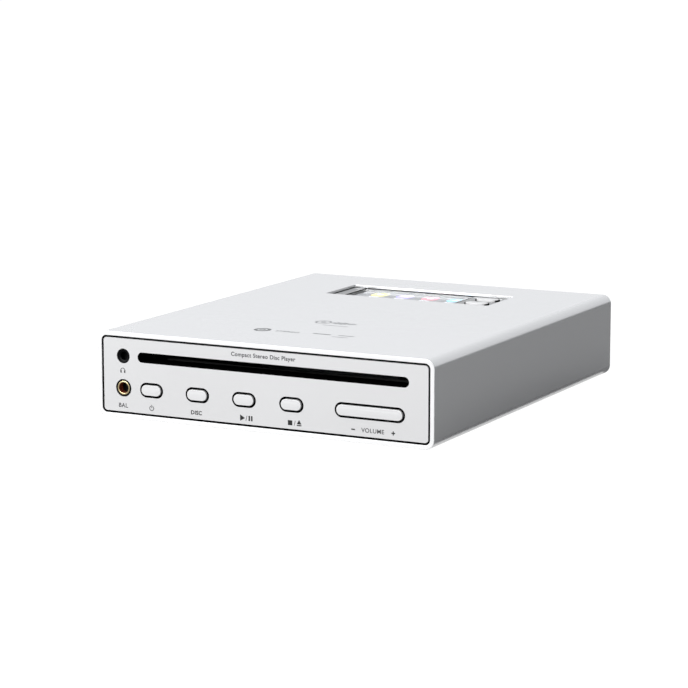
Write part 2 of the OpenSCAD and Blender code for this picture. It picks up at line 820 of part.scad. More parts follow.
main_housing();
front_panel();
panel_gasket();
rear_panel();
rear_screws();
rubber_feet();
foot_screws();
chassis_tray();
power_button();
source_button();
play_button();
stop_button();
volume_rocker();
front_board();
front_switches();
headphone_jack();
balanced_jack();
balanced_jack_ring();
jack_board();
slot_guide();
slot_felts();
display_bezel();
display_glass();
display_panel();
top_board();
top_switches();
skip_back_button();
skip_forward_button();
display_ribbon();
battery_pack();
main_board();
board_chips();
capacitors();
shield_can();
usb_socket();
optical_socket();
coaxial_jack();
line_out_jack();
loader_base();
loader_lid();
damper_grommets();
damper_screws();
roller_arm();
feed_roller();
roller_pulley();
drive_belt();
drive_gear();
loading_motor();
motor_pinion();
cam_slider();
clamp_arm();
clamp_puck();
traverse_frame();
spindle_motor();
turntable();
guide_rods();
lead_screw();
sled_motor();
pickup_sled();
pickup_lens();
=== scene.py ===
"""Looks of a slot-loading disc player: detailed outer pieces, finishes, legends, studio and camera."""

import logging
import math
from dataclasses import dataclass, field
from enum import Enum
from typing import Callable, Iterable, Sequence

import bmesh
import bpy
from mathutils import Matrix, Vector


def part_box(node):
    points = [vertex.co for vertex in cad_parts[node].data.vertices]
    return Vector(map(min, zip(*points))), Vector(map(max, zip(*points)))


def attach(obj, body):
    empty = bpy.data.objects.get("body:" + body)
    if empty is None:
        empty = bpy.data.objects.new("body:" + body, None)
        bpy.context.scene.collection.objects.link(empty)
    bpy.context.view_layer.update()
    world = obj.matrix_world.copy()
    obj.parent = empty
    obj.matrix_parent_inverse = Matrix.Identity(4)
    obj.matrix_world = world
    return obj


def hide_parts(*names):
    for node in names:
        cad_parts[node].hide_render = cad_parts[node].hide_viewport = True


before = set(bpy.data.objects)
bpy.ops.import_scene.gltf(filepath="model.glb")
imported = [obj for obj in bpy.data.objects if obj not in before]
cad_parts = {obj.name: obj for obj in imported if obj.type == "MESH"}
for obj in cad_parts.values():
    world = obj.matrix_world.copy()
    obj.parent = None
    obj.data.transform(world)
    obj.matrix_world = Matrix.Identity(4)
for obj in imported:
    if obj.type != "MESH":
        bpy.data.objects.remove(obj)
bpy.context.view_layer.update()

log = logging.getLogger("disc_player")

MM = 0.001
HAIR = 0.01 * MM
FULL_ROUND = 0.4999
X, Y, Z = Vector((1, 0, 0)), Vector((0, 1, 0)), Vector((0, 0, 1))
Colour = tuple[float, float, float]


# ---------- workshop ----------


def deselect() -> None:
    """Leaves nothing selected, in object mode."""
    bpy.ops.object.select_all(action="DESELECT")


class Workpiece:
    """One mesh while it is shaped on the bench, by the steps that a person would take."""

    def __init__(self, piece: bpy.types.Object) -> None:
        """Takes hold of a piece.

        Args:
            piece: The mesh object to work on.
        """
        self.piece = piece

    @classmethod
    def _added(cls) -> "Workpiece":
        """Settles the primitive that was just added, with its place in its mesh."""
        bpy.ops.object.transform_apply(location=True, rotation=True, scale=True)
        return cls(bpy.context.active_object)

    @classmethod
    def block(cls, low: Sequence[float], high: Sequence[float]) -> "Workpiece":
        """Adds a box.

        Args:
            low: Its lowest corner.
            high: Its highest corner.

        Returns:
            The new workpiece.
        """
        deselect()
        a, b = Vector(low), Vector(high)
        bpy.ops.mesh.primitive_cube_add(size=1, location=(a + b) / 2)
        bpy.context.active_object.scale = b - a
        return cls._added()

    @classmethod
    def rod(
        cls, start: Sequence[float], axis: Vector, radius: float, length: float, sides: int = 48
    ) -> "Workpiece":
        """Adds a round bar, or a prism where the sides are few.

        Args:
            start: The middle of its first end.
            axis: The direction in which it runs.
            radius: Its radius.
            length: Its length.
            sides: How many sides its outline has.

        Returns:
            The new workpiece.
        """
        deselect()
        bpy.ops.mesh.primitive_cylinder_add(
            vertices=sides,
            radius=radius,
            depth=length,
            location=Vector(start) + axis * length / 2,
            rotation=axis.to_track_quat("Z", "Y").to_euler(),
        )
        return cls._added()

    @classmethod
    def pill(
        cls, middle: Sequence[float], width: float, height: float, y0: float, y1: float, steps: int = 16
    ) -> "Workpiece":
        """Adds a bar along Y whose outline is a pill.

        Args:
            middle: Its middle in X and Z.
            width: Its width along X.
            height: Its height along Z.
            y0: Its front end.
            y1: Its back end.
            steps: How many facets each quarter of a round end has.

        Returns:
            The new workpiece.
        """
        x, z = middle
        piece = cls.block((x - width / 2, y0, z - height / 2), (x + width / 2, y1, z + height / 2))
        return piece.round_along(Y, height * FULL_ROUND, steps)

    @classmethod
    def lettering(
        cls,
        text: str,
        middle: Sequence[float],
        size: float,
        turn: Sequence[float],
        weight: float = 0.05 * MM,
    ) -> "Workpiece":
        """Adds flat lettering with a little thickness.

        Args:
            text: What it says.
            middle: The middle of the lettering.
            size: The height of its line.
            turn: Its rotation about X, Y and Z.
            weight: How much bolder its strokes are than the plain font's.

        Returns:
            The new workpiece.
        """
        deselect()
        bpy.ops.object.text_add(location=middle, rotation=turn)
        words = bpy.context.active_object
        words.data.body = text
        words.data.size = size
        words.data.align_x = "CENTER"
        words.data.align_y = "CENTER"
        words.data.extrude = Legends.thickness / 2
        words.data.space_character = 1.08
        words.data.offset = weight
        bpy.ops.object.convert(target="MESH")
        return cls._added()

    def select(self) -> None:
        """Makes this the only selected and the active piece."""
        deselect()
        self.piece.select_set(True)
        bpy.context.view_layer.objects.active = self.piece

    def edit(self, kind: str, wanted: Callable[[bmesh.types.BMFace | bmesh.types.BMEdge], bool]) -> None:
        """Enters edit mode with only the wanted faces or edges selected.

        Args:
            kind: FACE or EDGE.
            wanted: Says of each face or edge whether it is selected.
        """
        self.select()
        bpy.ops.object.mode_set(mode="EDIT")
        bpy.ops.mesh.select_mode(type=kind)
        bpy.ops.mesh.select_all(action="DESELECT")
        mesh = bmesh.from_edit_mesh(self.piece.data)
        for part in mesh.faces if kind == "FACE" else mesh.edges:
            part.select_set(wanted(part))
        bmesh.update_edit_mesh(self.piece.data)

    def edit_edges_along(self, axis: Vector) -> None:
        """Enters edit mode with the straight edges along an axis selected."""
        self.edit("EDGE", lambda e: abs((e.verts[0].co - e.verts[1].co).normalized().dot(axis)) > 0.999)

    def edit_outermost(self, facing: Vector) -> None:
        """Enters edit mode with the outermost face that faces one way selected."""
        reach = max(v.co.dot(facing) for v in self.piece.data.vertices) - 0.1 * HAIR
        self.edit(
            "FACE", lambda f: f.normal.dot(facing) > 0.999 and f.calc_center_median().dot(facing) > reach
        )

    def round_along(self, axis: Vector, radius: float, steps: int) -> "Workpiece":
        """Rounds the edges that run along an axis.

        Args:
            axis: The direction of the edges.
            radius: The radius of the rounding.
            steps: How many facets it has.

        Returns:
            This workpiece.
        """
        self.edit_edges_along(axis)
        bpy.ops.mesh.bevel(offset=radius, segments=steps, affect="EDGES", clamp_overlap=False)
        bpy.ops.mesh.select_all(action="SELECT")
        bpy.ops.mesh.remove_doubles(threshold=0.002 * MM)
        bpy.ops.object.mode_set(mode="OBJECT")
        return self

    def sink(self, facing: Vector, steps: Iterable[tuple[float, float]]) -> "Workpiece":
        """Turns the outermost face that faces one way into a stepped recess or boss.

        Args:
            facing: The direction that the face faces.
            steps: For each step, how far the outline moves in and how far the face moves back.

        Returns:
            This workpiece.
        """
        self.edit_outermost(facing)
        for inset, depth in steps:
            if inset:
                bpy.ops.mesh.inset(thickness=inset, depth=0)
            if depth:
                bpy.ops.mesh.extrude_region_move(TRANSFORM_OT_translate={"value": -facing * depth})
        bpy.ops.object.mode_set(mode="OBJECT")
        return self

    def modify(self, kind: str, **settings: object) -> None:
        """Adds a modifier with these settings and applies it."""
        self.select()
        modifier = self.piece.modifiers.new(kind.lower(), kind)
        for name, value in settings.items():
            setattr(modifier, name, value)
        bpy.ops.object.modifier_apply(modifier=modifier.name)

    def cut(self, *tools: "Workpiece") -> "Workpiece":
        """Takes the tools' shapes out of this piece, and uses the tools up."""
        for tool in tools:
            self.modify("BOOLEAN", operation="DIFFERENCE", object=tool.piece, solver="EXACT")
            bpy.data.objects.remove(tool.piece)
        return self

    def weld(self, *others: "Workpiece") -> "Workpiece":
        """Makes one solid of this piece and the others, and uses the others up."""
        for other in others:
            self.modify("BOOLEAN", operation="UNION", object=other.piece, solver="EXACT")
            bpy.data.objects.remove(other.piece)
        return self

    def gather(self, *others: "Workpiece") -> "Workpiece":
        """Puts the others into this piece as separate solids."""
        self.select()
        for other in others:
            other.piece.select_set(True)
        bpy.ops.object.join()
        return self

    def soften(self, width: float, steps: int = 3, angle: float = 40) -> "Workpiece":
        """Rounds every edge that is sharper than an angle.

        Args:
            width: The width of the rounding.
            steps: How many facets it has.
            angle: The angle in degrees past which an edge is rounded.

        Returns:
            This workpiece.
        """
        self.modify(
            "BEVEL",
            width=width,
            segments=steps,
            limit_method="ANGLE",
            angle_limit=math.radians(angle),
            use_clamp_overlap=True,
            miter_outer="MITER_ARC",
        )
        return self

    def crown(self, facing: Vector, height: float, inset: float, rings: int = 5) -> "Workpiece":
        """Domes the outermost face, in rings from its rim to its middle.

        Args:
            facing: The direction that the face faces.
            height: How far the middle stands above the rim.
            inset: How far in the last ring is.
            rings: How many rings there are.

        Returns:
            This workpiece.
        """
        angles = [math.pi / 2 * i / rings for i in range(rings + 1)]
        self.edit_outermost(facing)
        for a, b in zip(angles, angles[1:]):
            inward = inset * (math.sin(b) - math.sin(a))
            rise = height * (math.cos(a) - math.cos(b))
            bpy.ops.mesh.inset(thickness=inward, depth=rise)
        bpy.ops.object.mode_set(mode="OBJECT")
        return self

    def finished(self, name: str, body: str, finish: "Finish", *nodes: str) -> bpy.types.Object:
        """Names the piece, gives it its finish and fixes it to its body.

        Args:
            name: The name of the piece.
            body: The body that it rides on.
            finish: What its surface is.
            nodes: The design's nodes that it stands for.

        Returns:
            The finished object.
        """
        self.edit("FACE", lambda f: True)
        bpy.ops.mesh.remove_doubles(threshold=0.0005 * MM)
        bpy.ops.object.mode_set(mode="OBJECT")
        bpy.ops.object.shade_smooth_by_angle(angle=math.radians(42))
        self.modify("WEIGHTED_NORMAL", keep_sharp=True, weight=60)
        self.piece.name = name
        self.piece.data.materials.clear()
        self.piece.data.materials.append(finish.material())
        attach(self.piece, body)
        if nodes:
            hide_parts(*nodes)
        log.info("%s: %d faces on %s", name, len(self.piece.data.polygons), body)
        return self.piece

    def trim(self, facing: Vector, depth: float, finish: "Finish") -> None:
        """Gives the outermost end that faces one way a finish of its own.

        Args:
            facing: The way that the end faces.
            depth: How far back from the end the finish reaches.
            finish: What its surface is.
        """
        mesh = self.piece.data
        mesh.materials.append(finish.material())
        outermost = max(v.co.dot(facing) for v in mesh.vertices)
        for face in mesh.polygons:
            if face.normal.dot(facing) > 0.1 and face.center.dot(facing) > outermost - depth:
                face.material_index = 1


# ---------- surface effects ----------


class Graph:
    """A node tree while its nodes are placed and joined."""

    def __init__(self, tree: bpy.types.NodeTree) -> None:
        """Takes hold of a tree.

        Args:
            tree: The tree of a material, a world or a node group.
        """
        self.tree = tree
        self.column = 0

    def add(self, kind: str, **values: object) -> bpy.types.Node:
        """Adds a node.

        Args:
            kind: The node's type, without its Shader prefix.
            values: Its properties, and its inputs by name with spaces as underscores.

        Returns:
            The new node.
        """
        node = self.tree.nodes.new("ShaderNode" + kind)
        self.column += 1
        node.location = (180 * self.column, 0)
        for name, value in values.items():
            if hasattr(node, name):
                setattr(node, name, value)
                continue
            socket = next(s for s in node.inputs if s.name.replace(" ", "_") == name and s.enabled)
            self.feed(value, socket)
        return node

    def join(self, source: bpy.types.NodeSocket, target: bpy.types.NodeSocket) -> None:
        """Links an output to an input."""
        self.tree.links.new(source, target)

    def feed(self, value: object, target: bpy.types.NodeSocket) -> None:
        """Gives an input a value, or links an output to it."""
        if isinstance(value, bpy.types.NodeSocket):
            self.join(value, target)
        else:
            target.default_value = value

    def math(self, operation: str, first: object, second: object = 0.0) -> bpy.types.NodeSocket:
        """Adds a Math node.

        Args:
            operation: What it works out.
            first: Its first number or socket.
            second: Its second number or socket.

        Returns:
            Its result.
        """
        node = self.add("Math", operation=operation)
        for socket, value in zip(node.inputs, (first, second)):
            self.feed(value, socket)
        return node.outputs[0]

    def mean(self, first: bpy.types.NodeSocket, second: bpy.types.NodeSocket) -> bpy.types.NodeSocket:
        """Adds the nodes that take the mean of two values."""
        return self.math("MULTIPLY", self.math("ADD", first, second), 0.5)

    def mix(self, kind: str, share: object, first: object, second: object) -> bpy.types.NodeSocket:
        """Adds a Mix node.

        Args:
            kind: What it mixes, FLOAT or RGBA.
            share: How much of the second there is.
            first: The first value, colour or socket.
            second: The second value, colour or socket.

        Returns:
            The mixture.
        """
        node = self.add("Mix", data_type=kind)
        inputs = [socket for socket in node.inputs if socket.enabled]
        for socket, value in zip(inputs, (share, first, second)):
            self.feed(value, socket)
        return next(socket for socket in node.outputs if socket.enabled)

    def spread(self, value: bpy.types.NodeSocket, low: object, high: object) -> bpy.types.NodeSocket:
        """Stretches a value of 0 to 1 over another range.

        Args:
            value: The value.
            low: What 0 becomes.
            high: What 1 becomes.

        Returns:
            The stretched value.
        """
        return self.add("MapRange", Value=value, To_Min=low, To_Max=high).outputs[0]


class Effect(Enum):
    """The patterns that a surface can have, each a node group built once."""

    BLASTED = "blasted grain"
    BRUSHED = "brushed lines"
    MOULDED = "moulded grain"
    PILE = "felt pile"
    BOARD = "circuit board"

    def group(self) -> bpy.types.ShaderNodeTree:
        """Builds the effect's node group, or finds it.

        Returns:
            A group that turns a scale and an amount into a tone and a height.
        """
        found = bpy.data.node_groups.get(self.value)
        if found:
            return found
        tree = bpy.data.node_groups.new(self.value, "ShaderNodeTree")
        for name, start in (("Scale", 1000.0), ("Amount", 1.0)):
            socket = tree.interface.new_socket(name, in_out="INPUT", socket_type="NodeSocketFloat")
            socket.default_value = start
        for name in ("Tone", "Height"):
            tree.interface.new_socket(name, in_out="OUTPUT", socket_type="NodeSocketFloat")
        graph = Graph(tree)
        given = tree.nodes.new("NodeGroupInput")
        result = tree.nodes.new("NodeGroupOutput")
        place = graph.add("TexCoord").outputs["Object"]
        tone, height = getattr(self, "_" + self.name.lower())(graph, place, given.outputs["Scale"])
        amount = given.outputs["Amount"]
        swing = graph.math("SUBTRACT", tone, 0.5)
        graph.join(graph.math("MULTIPLY", swing, amount), result.inputs["Tone"])
        graph.join(graph.math("MULTIPLY", height, amount), result.inputs["Height"])
        return tree

    @staticmethod
    def _blasted(graph: Graph, place: bpy.types.NodeSocket, scale: bpy.types.NodeSocket) -> tuple:
        """Fine even pits with a slow drift of tone, as on blasted and anodised metal."""
        pits = graph.add("TexNoise", Vector=place, Scale=scale, Detail=3.0, Roughness=0.6)
        drift = graph.add("TexNoise", Vector=place, Scale=18.0, Detail=2.0)
        return graph.mean(pits.outputs[0], drift.outputs[0]), pits.outputs[0]

    @staticmethod
    def _brushed(graph: Graph, place: bpy.types.NodeSocket, scale: bpy.types.NodeSocket) -> tuple:
        """Long fine lines along X, as on rolled or brushed sheet."""
        stretched = graph.add("Mapping", Vector=place, Scale=(0.03, 1.0, 1.0)).outputs[0]
        lines = graph.add("TexNoise", Vector=stretched, Scale=scale, Detail=4.0, Roughness=0.7)
        cloud = graph.add("TexNoise", Vector=place, Scale=40.0, Detail=2.0)
        return graph.mean(lines.outputs[0], cloud.outputs[0]), lines.outputs[0]

    @staticmethod
    def _moulded(graph: Graph, place: bpy.types.NodeSocket, scale: bpy.types.NodeSocket) -> tuple:
        """A soft leathery cell pattern, as spark erosion leaves in a mould."""
        cells = graph.add("TexVoronoi", Vector=place, Scale=scale, feature="SMOOTH_F1")
        cloud = graph.add("TexNoise", Vector=place, Scale=60.0, Detail=3.0)
        return graph.mean(cells.outputs[0], cloud.outputs[0]), cells.outputs[0]

    @staticmethod
    def _pile(graph: Graph, place: bpy.types.NodeSocket, scale: bpy.types.NodeSocket) -> tuple:
        """Short tangled fibres."""
        warp = graph.add("TexNoise", Vector=place, Scale=900.0, Detail=2.0)
        bent = graph.add("VectorMath", operation="ADD")
        graph.join(place, bent.inputs[0])
        shift = graph.add("VectorMath", operation="SCALE", Scale=0.6 * MM)
        graph.join(warp.outputs[1], shift.inputs[0])
        graph.join(shift.outputs[0], bent.inputs[1])
        fibres = graph.add("TexNoise", Vector=bent.outputs[0], Scale=scale, Detail=6.0, Roughness=0.8)
        return fibres.outputs[0], fibres.outputs[0]

    @staticmethod
    def _board(graph: Graph, place: bpy.types.NodeSocket, scale: bpy.types.NodeSocket) -> tuple:
        """Copper runs and pads that show under a solder mask."""
        pads_per_run, pad_radius = 1.9, 0.16
        runs = graph.add(
            "TexBrick",
            Vector=place,
            Scale=scale,
            offset=0.37,
            offset_frequency=3,
            squash=1.7,
            Mortar_Size=0.09,
        )
        pads = graph.add("TexVoronoi", Vector=place, Scale=graph.math("MULTIPLY", scale, pads_per_run))
        dots = graph.math("LESS_THAN", pads.outputs[0], pad_radius)
        raised = graph.math("MAXIMUM", runs.outputs["Fac"], dots)
        return raised, raised


# ---------- finishes ----------


@dataclass(frozen=True)
class Finish:
    """A surface: what it is made of and how it was treated.

    Its positional values come in the order of the attributes.

    Attributes:
        name: The finish in a maker's words.
        slot: The record's material slot; not used.
        colour: Its main colour.
        metallic: How much of it is bare metal.
        roughness: Its mean roughness.
        effect: The pattern on it.
        scale: How fine the pattern is, in cells per metre.
        tone: How strongly the pattern changes the colour.
        relief: The height of the pattern.
        wear: How much lighter the edges are.
        coat: The weight of a clear coat.
        gloss: The strength of its reflections.
        accent: A second colour where the pattern is high.
    """

    name: str
    slot: str
    colour: Colour
    metallic: float = 0.0
    roughness: float = 0.5
    effect: Effect = Effect.BLASTED
    scale: float = 6000.0
    tone: float = 0.1
    relief: float = 0.004 * MM
    wear: float = 0.0
    coat: float = 0.0
    gloss: float = 0.5
    accent: Colour | None = None

    def material(self) -> bpy.types.Material:
        """Builds the material, or finds it.

        Returns:
            The material, with its pattern in its colour, roughness and relief.
        """
        found = bpy.data.materials.get(self.name)
        if found:
            return found
        made = bpy.data.materials.new(self.name)
        made.use_nodes = True
        graph = Graph(made.node_tree)
        shader = made.node_tree.nodes["Principled BSDF"]
        pattern = made.node_tree.nodes.new("ShaderNodeGroup")
        pattern.node_tree = self.effect.group()
        pattern.inputs["Scale"].default_value = self.scale
        tone, height = pattern.outputs["Tone"], pattern.outputs["Height"]
        dark = (*(c * (1 - self.tone) for c in self.colour), 1.0)
        light = (*(min(1.0, c * (1 + self.tone)) for c in self.accent or self.colour), 1.0)
        share = graph.math("ADD", tone, 0.5)
        colour = graph.mix("RGBA", share, dark, light)
        swing = 0.12 * self.roughness
        rough = graph.spread(share, self.roughness - swing, min(1.0, self.roughness + swing))
        if self.wear:
            rubbed = (*(min(1.0, c * 1.25 + 0.05) for c in self.colour), 1.0)
            colour = graph.mix("RGBA", self._edge_mask(graph), colour, rubbed)
        graph.join(colour, shader.inputs["Base Color"])
        graph.join(rough, shader.inputs["Roughness"])
        bump = graph.add("Bump", Height=height, Distance=self.relief, Strength=1.0)
        graph.join(bump.outputs[0], shader.inputs["Normal"])
        shader.inputs["Metallic"].default_value = self.metallic
        shader.inputs["Coat Weight"].default_value = self.coat
        shader.inputs["Specular IOR Level"].default_value = self.gloss
        return made

    def _edge_mask(self, graph: Graph) -> bpy.types.NodeSocket:
        """Finds the edges, where hands and cloths rub the surface.

        Args:
            graph: The material's graph.

        Returns:
            A mask from 0 on the flats to the wear on the edges.
        """
        rounded = graph.add("Bevel", samples=4, Radius=0.3 * MM)
        turn = graph.add("VectorMath", operation="DOT_PRODUCT")
        graph.join(rounded.outputs[0], turn.inputs[0])
        graph.join(graph.add("NewGeometry").outputs["Normal"], turn.inputs[1])
        mask = graph.add(
            "MapRange", Value=turn.outputs["Value"], From_Min=0.98, From_Max=0.75, To_Max=self.wear
        )
        return mask.outputs[0]


@dataclass(frozen=True)
class ClearFinish(Finish):
    """Glass or clear plastic.

    Attributes:
        clear: How much light goes through.
        index: Its index of refraction.
    """

    clear: float = 1.0
    index: float = 1.5

    def material(self) -> bpy.types.Material:
        """Builds the clear material, or finds it."""
        found = bpy.data.materials.get(self.name)
        if found:
            return found
        made = super().material()
        shader = made.node_tree.nodes["Principled BSDF"]
        shader.inputs["Transmission Weight"].default_value = self.clear
        shader.inputs["IOR"].default_value = self.index
        return made


@dataclass(frozen=True)
class LitFinish(Finish):
    """A lit part of the display.

    Attributes:
        glow: How strongly it shines.
    """

    glow: float = 1.0

    def material(self) -> bpy.types.Material:
        """Builds the glowing material, or finds it."""
        found = bpy.data.materials.get(self.name)
        if found:
            return found
        made = super().material()
        shader = made.node_tree.nodes["Principled BSDF"]
        colour = shader.inputs["Base Color"].links[0].from_socket
        made.node_tree.links.new(colour, shader.inputs["Emission Color"])
        shader.inputs["Emission Strength"].default_value = self.glow
        return made


class Finishes:
    """Every finish on the player."""

    SLEEVE = Finish("blasted anodised sleeve", "sleeve", (0.90, 0.905, 0.915), 0.6, 0.22, tone=0.02)
    # Painted highlight: the rim's front faces get this brighter, less metallic copy of the sleeve's metal
    # so the front edge shows white.
    RIM_HIGHLIGHT = Finish("rim with painted highlight", "sleeve", (0.96, 0.96, 0.965), 0.1, 0.3, tone=0.01)
    FRONT = Finish("satin front plate", "front_plate", (0.74, 0.74, 0.745), 0.2, 0.4, tone=0.015)
    REAR = Finish("satin rear plate", "rear_plate", (0.62, 0.63, 0.64), 0.8, 0.4, wear=0.3, tone=0.03)
    CAPS = Finish("satin key caps", "key_caps", (0.78, 0.78, 0.785), 0.1, 0.35, tone=0.01)
    GASKET = Finish(
        "black joint rubber", "black_gasket", (0.002, 0.002, 0.002), 0, 0.8, Effect.MOULDED, 4000, 0.2,
        gloss=0.0,
    )
    # Painted shade: near-black strips set in the gaps around the keys, in the slot's mouth and in the
    # window, where there is only shade.
    GAP_SHADE = Finish(
        "black painted gap shade", "black_gasket", (0.002, 0.002, 0.002), 0, 0.8, Effect.MOULDED, 5000, 0.2, gloss=0.0
    )
    FEET = Finish(
        "grained foot rubber", "foot_rubber", (0.045, 0.045, 0.048), 0, 0.75, Effect.MOULDED, 1800, 0.25,
        0.03 * MM, 0.3,
    )
    SCREWS = Finish(
        "dark plated screws", "screw_steel", (0.30, 0.30, 0.32), 0.95, 0.35, Effect.BRUSHED, 4000, 0.15,
        wear=0.6,
    )
    TRAY = Finish(
        "zinc plated tray", "tray_steel", (0.60, 0.61, 0.63), 0.95, 0.36, Effect.BRUSHED, 2500, 0.15,
        0.006 * MM, 0.3,
    )
    BOARD = Finish(
        "green circuit board", "board_green", (0.01, 0.09, 0.045), 0, 0.35, Effect.BOARD, 260, 0.2,
        0.03 * MM, accent=(0.03, 0.22, 0.10), coat=0.4,
    )
    # Painted shade: the top board is coloured near black so the gap around the window glass shows dark.
    BLACK_BOARD = Finish(
        "circuit board darkened as painted shade", "board_green", (0.010, 0.010, 0.011), 0, 0.5, Effect.BOARD, 260, 0.2,
        0.03 * MM, accent=(0.022, 0.022, 0.024), gloss=0.1,
    )
    SWITCH = Finish(
        "moulded switches", "switch_black", (0.03, 0.03, 0.032), 0, 0.5, Effect.MOULDED, 3000, 0.3
    )
    JACK = Finish(
        "glossy jack bodies", "jack_black", (0.003, 0.003, 0.0035), 0, 0.35, Effect.MOULDED, 2500, 0.25,
        gloss=0.12,
    )
    GOLD = Finish("gold plated ring", "gold_plate", (0.98, 0.80, 0.46), 1.0, 0.25, tone=0.05)
    CONTACT = Finish("copper brown jack lining", "jack_black", (0.26, 0.055, 0.025), 0.2, 0.4, tone=0.3)
    GUIDE = Finish(
        "black slot guide", "guide_black", (0.003, 0.003, 0.003), 0, 0.55, Effect.MOULDED, 2500, 0.3,
        gloss=0.1,
    )
    # Black felt, its colour pushed darker still as painted shade inside the slot.
    FELT = Finish(
        "slot felt", "felt", (0.003, 0.003, 0.003), 0, 0.95, Effect.PILE, 4200, 0.5, 0.12 * MM,
        gloss=0.0,
    )
    BEZEL = Finish(
        "satin window frame", "bezel_grey", (0.36, 0.365, 0.37), 0.1, 0.42, tone=0.03, gloss=0.15
    )
    GLASS = ClearFinish(
        "smoked window glass", "window_glass", (0.92, 0.93, 0.95), 0, 0.06, relief=0.0, tone=0.02,
        index=1.06,
    )
    DISPLAY = LitFinish(
        "grey display", "display_dark", (0.27, 0.275, 0.28), 0, 0.4, Effect.BOARD, 1500, 0.06,
        gloss=0.1, glow=0.7,
    )
    MARKS = LitFinish(
        "white menu marks", "display_dark", (0.9, 0.92, 0.95), 0, 0.4, tone=0.05, glow=1.0
    )
    RIBBON = Finish(
        "amber ribbon", "ribbon", (0.50, 0.25, 0.05), 0, 0.35, Effect.BRUSHED, 2600, 0.4, 0.02 * MM,
        accent=(0.72, 0.45, 0.16),
    )
    CELLS = Finish(
        "blue cell wrap", "cell_wrap", (0.06, 0.17, 0.34), 0, 0.3, Effect.MOULDED, 400, 0.2, coat=0.4
    )
    CHIP = Finish("epoxy chips", "chip_black", (0.02, 0.02, 0.02), 0, 0.55, Effect.BLASTED, 5000, 0.3)
    CANS = Finish(
        "sleeved capacitors", "capacitor_gold", (0.50, 0.36, 0.14), 0.5, 0.35, Effect.BRUSHED, 3000, 0.2
    )
    TIN = Finish(
        "tinned shells", "tin_plate", (0.72, 0.72, 0.73), 1.0, 0.28, Effect.BRUSHED, 3500, 0.12,
        wear=0.4,
    )
    LOADER = Finish(
        "galvanised loader sheet", "loader_steel", (0.55, 0.56, 0.58), 0.9, 0.4, Effect.BRUSHED, 1800, 0.2,
        0.006 * MM, 0.3,
    )
    # Painted shade: loader steel that shows through the disc slot, coloured near black to stand in for the
    # shade inside the slot.
    SLOT_SHADE_STEEL = Finish(
        "steel darkened as painted slot shade", "loader_steel", (0.012, 0.012, 0.013), 0.1, 0.6, Effect.BRUSHED, 1800,
        0.2, gloss=0.2,
    )
    GROMMET = Finish(
        "soft brown grommets", "grommet_rubber", (0.20, 0.08, 0.04), 0, 0.7, Effect.MOULDED, 2500, 0.3
    )
    ROLLER = Finish(
        "ground roller rubber", "roller_rubber", (0.05, 0.05, 0.05), 0, 0.85, Effect.BLASTED, 5000, 0.35,
        0.02 * MM,
    )
    GEARS = Finish(
        "ivory gear plastic", "gear_plastic", (0.80, 0.76, 0.65), 0, 0.42, Effect.MOULDED, 3000, 0.08
    )
    BELT = Finish("belt rubber", "belt_rubber", (0.015, 0.015, 0.015), 0, 0.7, Effect.BLASTED, 5000, 0.4)
    MOTOR = Finish(
        "black motor cans", "motor_can", (0.012, 0.012, 0.013), 0.1, 0.55, Effect.BRUSHED, 3000, 0.12,
        gloss=0.2,
    )
    SLIDER = Finish(
        "tan cam slider", "slider_plastic", (0.56, 0.45, 0.32), 0, 0.45, Effect.MOULDED, 2800, 0.12
    )
    CLAMP = Finish(
        "dark clamp plastic", "clamp_plastic", (0.05, 0.05, 0.055), 0, 0.45, Effect.MOULDED, 2800, 0.3
    )
    TRAVERSE = Finish(
        "glass filled traverse", "traverse_plastic", (0.06, 0.065, 0.07), 0, 0.6, Effect.MOULDED, 1600, 0.3,
        0.02 * MM,
    )
    SHAFT = Finish(
        "ground shafts", "shaft_steel", (0.75, 0.75, 0.77), 1.0, 0.15, Effect.BRUSHED, 5000, 0.06
    )
    LENS = ClearFinish("coated lens", "lens_clear", (0.55, 0.72, 0.85), 0, 0.04, relief=0.0, tone=0.04)
    INK = Finish("dark legend ink", "front_plate", (0.006, 0.006, 0.006), 0, 0.6, tone=0.15)
    SOFT_INK = Finish("grey legend ink", "front_plate", (0.05, 0.05, 0.055), 0, 0.6, tone=0.15)
    PALE_INK = Finish("pale legend ink", "sleeve", (0.20, 0.205, 0.21), 0.1, 0.5, tone=0.1, gloss=0.2)


# ---------- sub-assemblies ----------


@dataclass(frozen=True)
class Case:
    """Places that the sub-assemblies share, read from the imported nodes."""

    low: Vector = field(default_factory=lambda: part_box("main_housing")[0])
    high: Vector = field(default_factory=lambda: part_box("main_housing")[1])

    @property
    def front(self) -> float:
        """The front edge of the sleeve along Y."""
        return self.low.y

    @property
    def under(self) -> float:
        """The underside of the sleeve."""
        return self.low.z

    def at(self, x: float, y: float, z: float) -> Vector:
        """A point given across from the middle, back from the front edge and up from the underside."""
        return Vector((x, self.front + y, self.under + z))

    def channels(self) -> list[tuple[float, float]]:
        """The places of the four screw channels in X and Z."""
        low, high, inset = self.low, self.high, Sleeve.channel
        return [(x, z) for x in (low.x + inset, high.x - inset) for z in (low.z + inset, high.z - inset)]


CASE = Case()


def middle_of(node: str) -> tuple[float, float]:
    """The middle of a node in X and Z."""
    low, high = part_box(node)
    return (low.x + high.x) / 2, (low.z + high.z) / 2


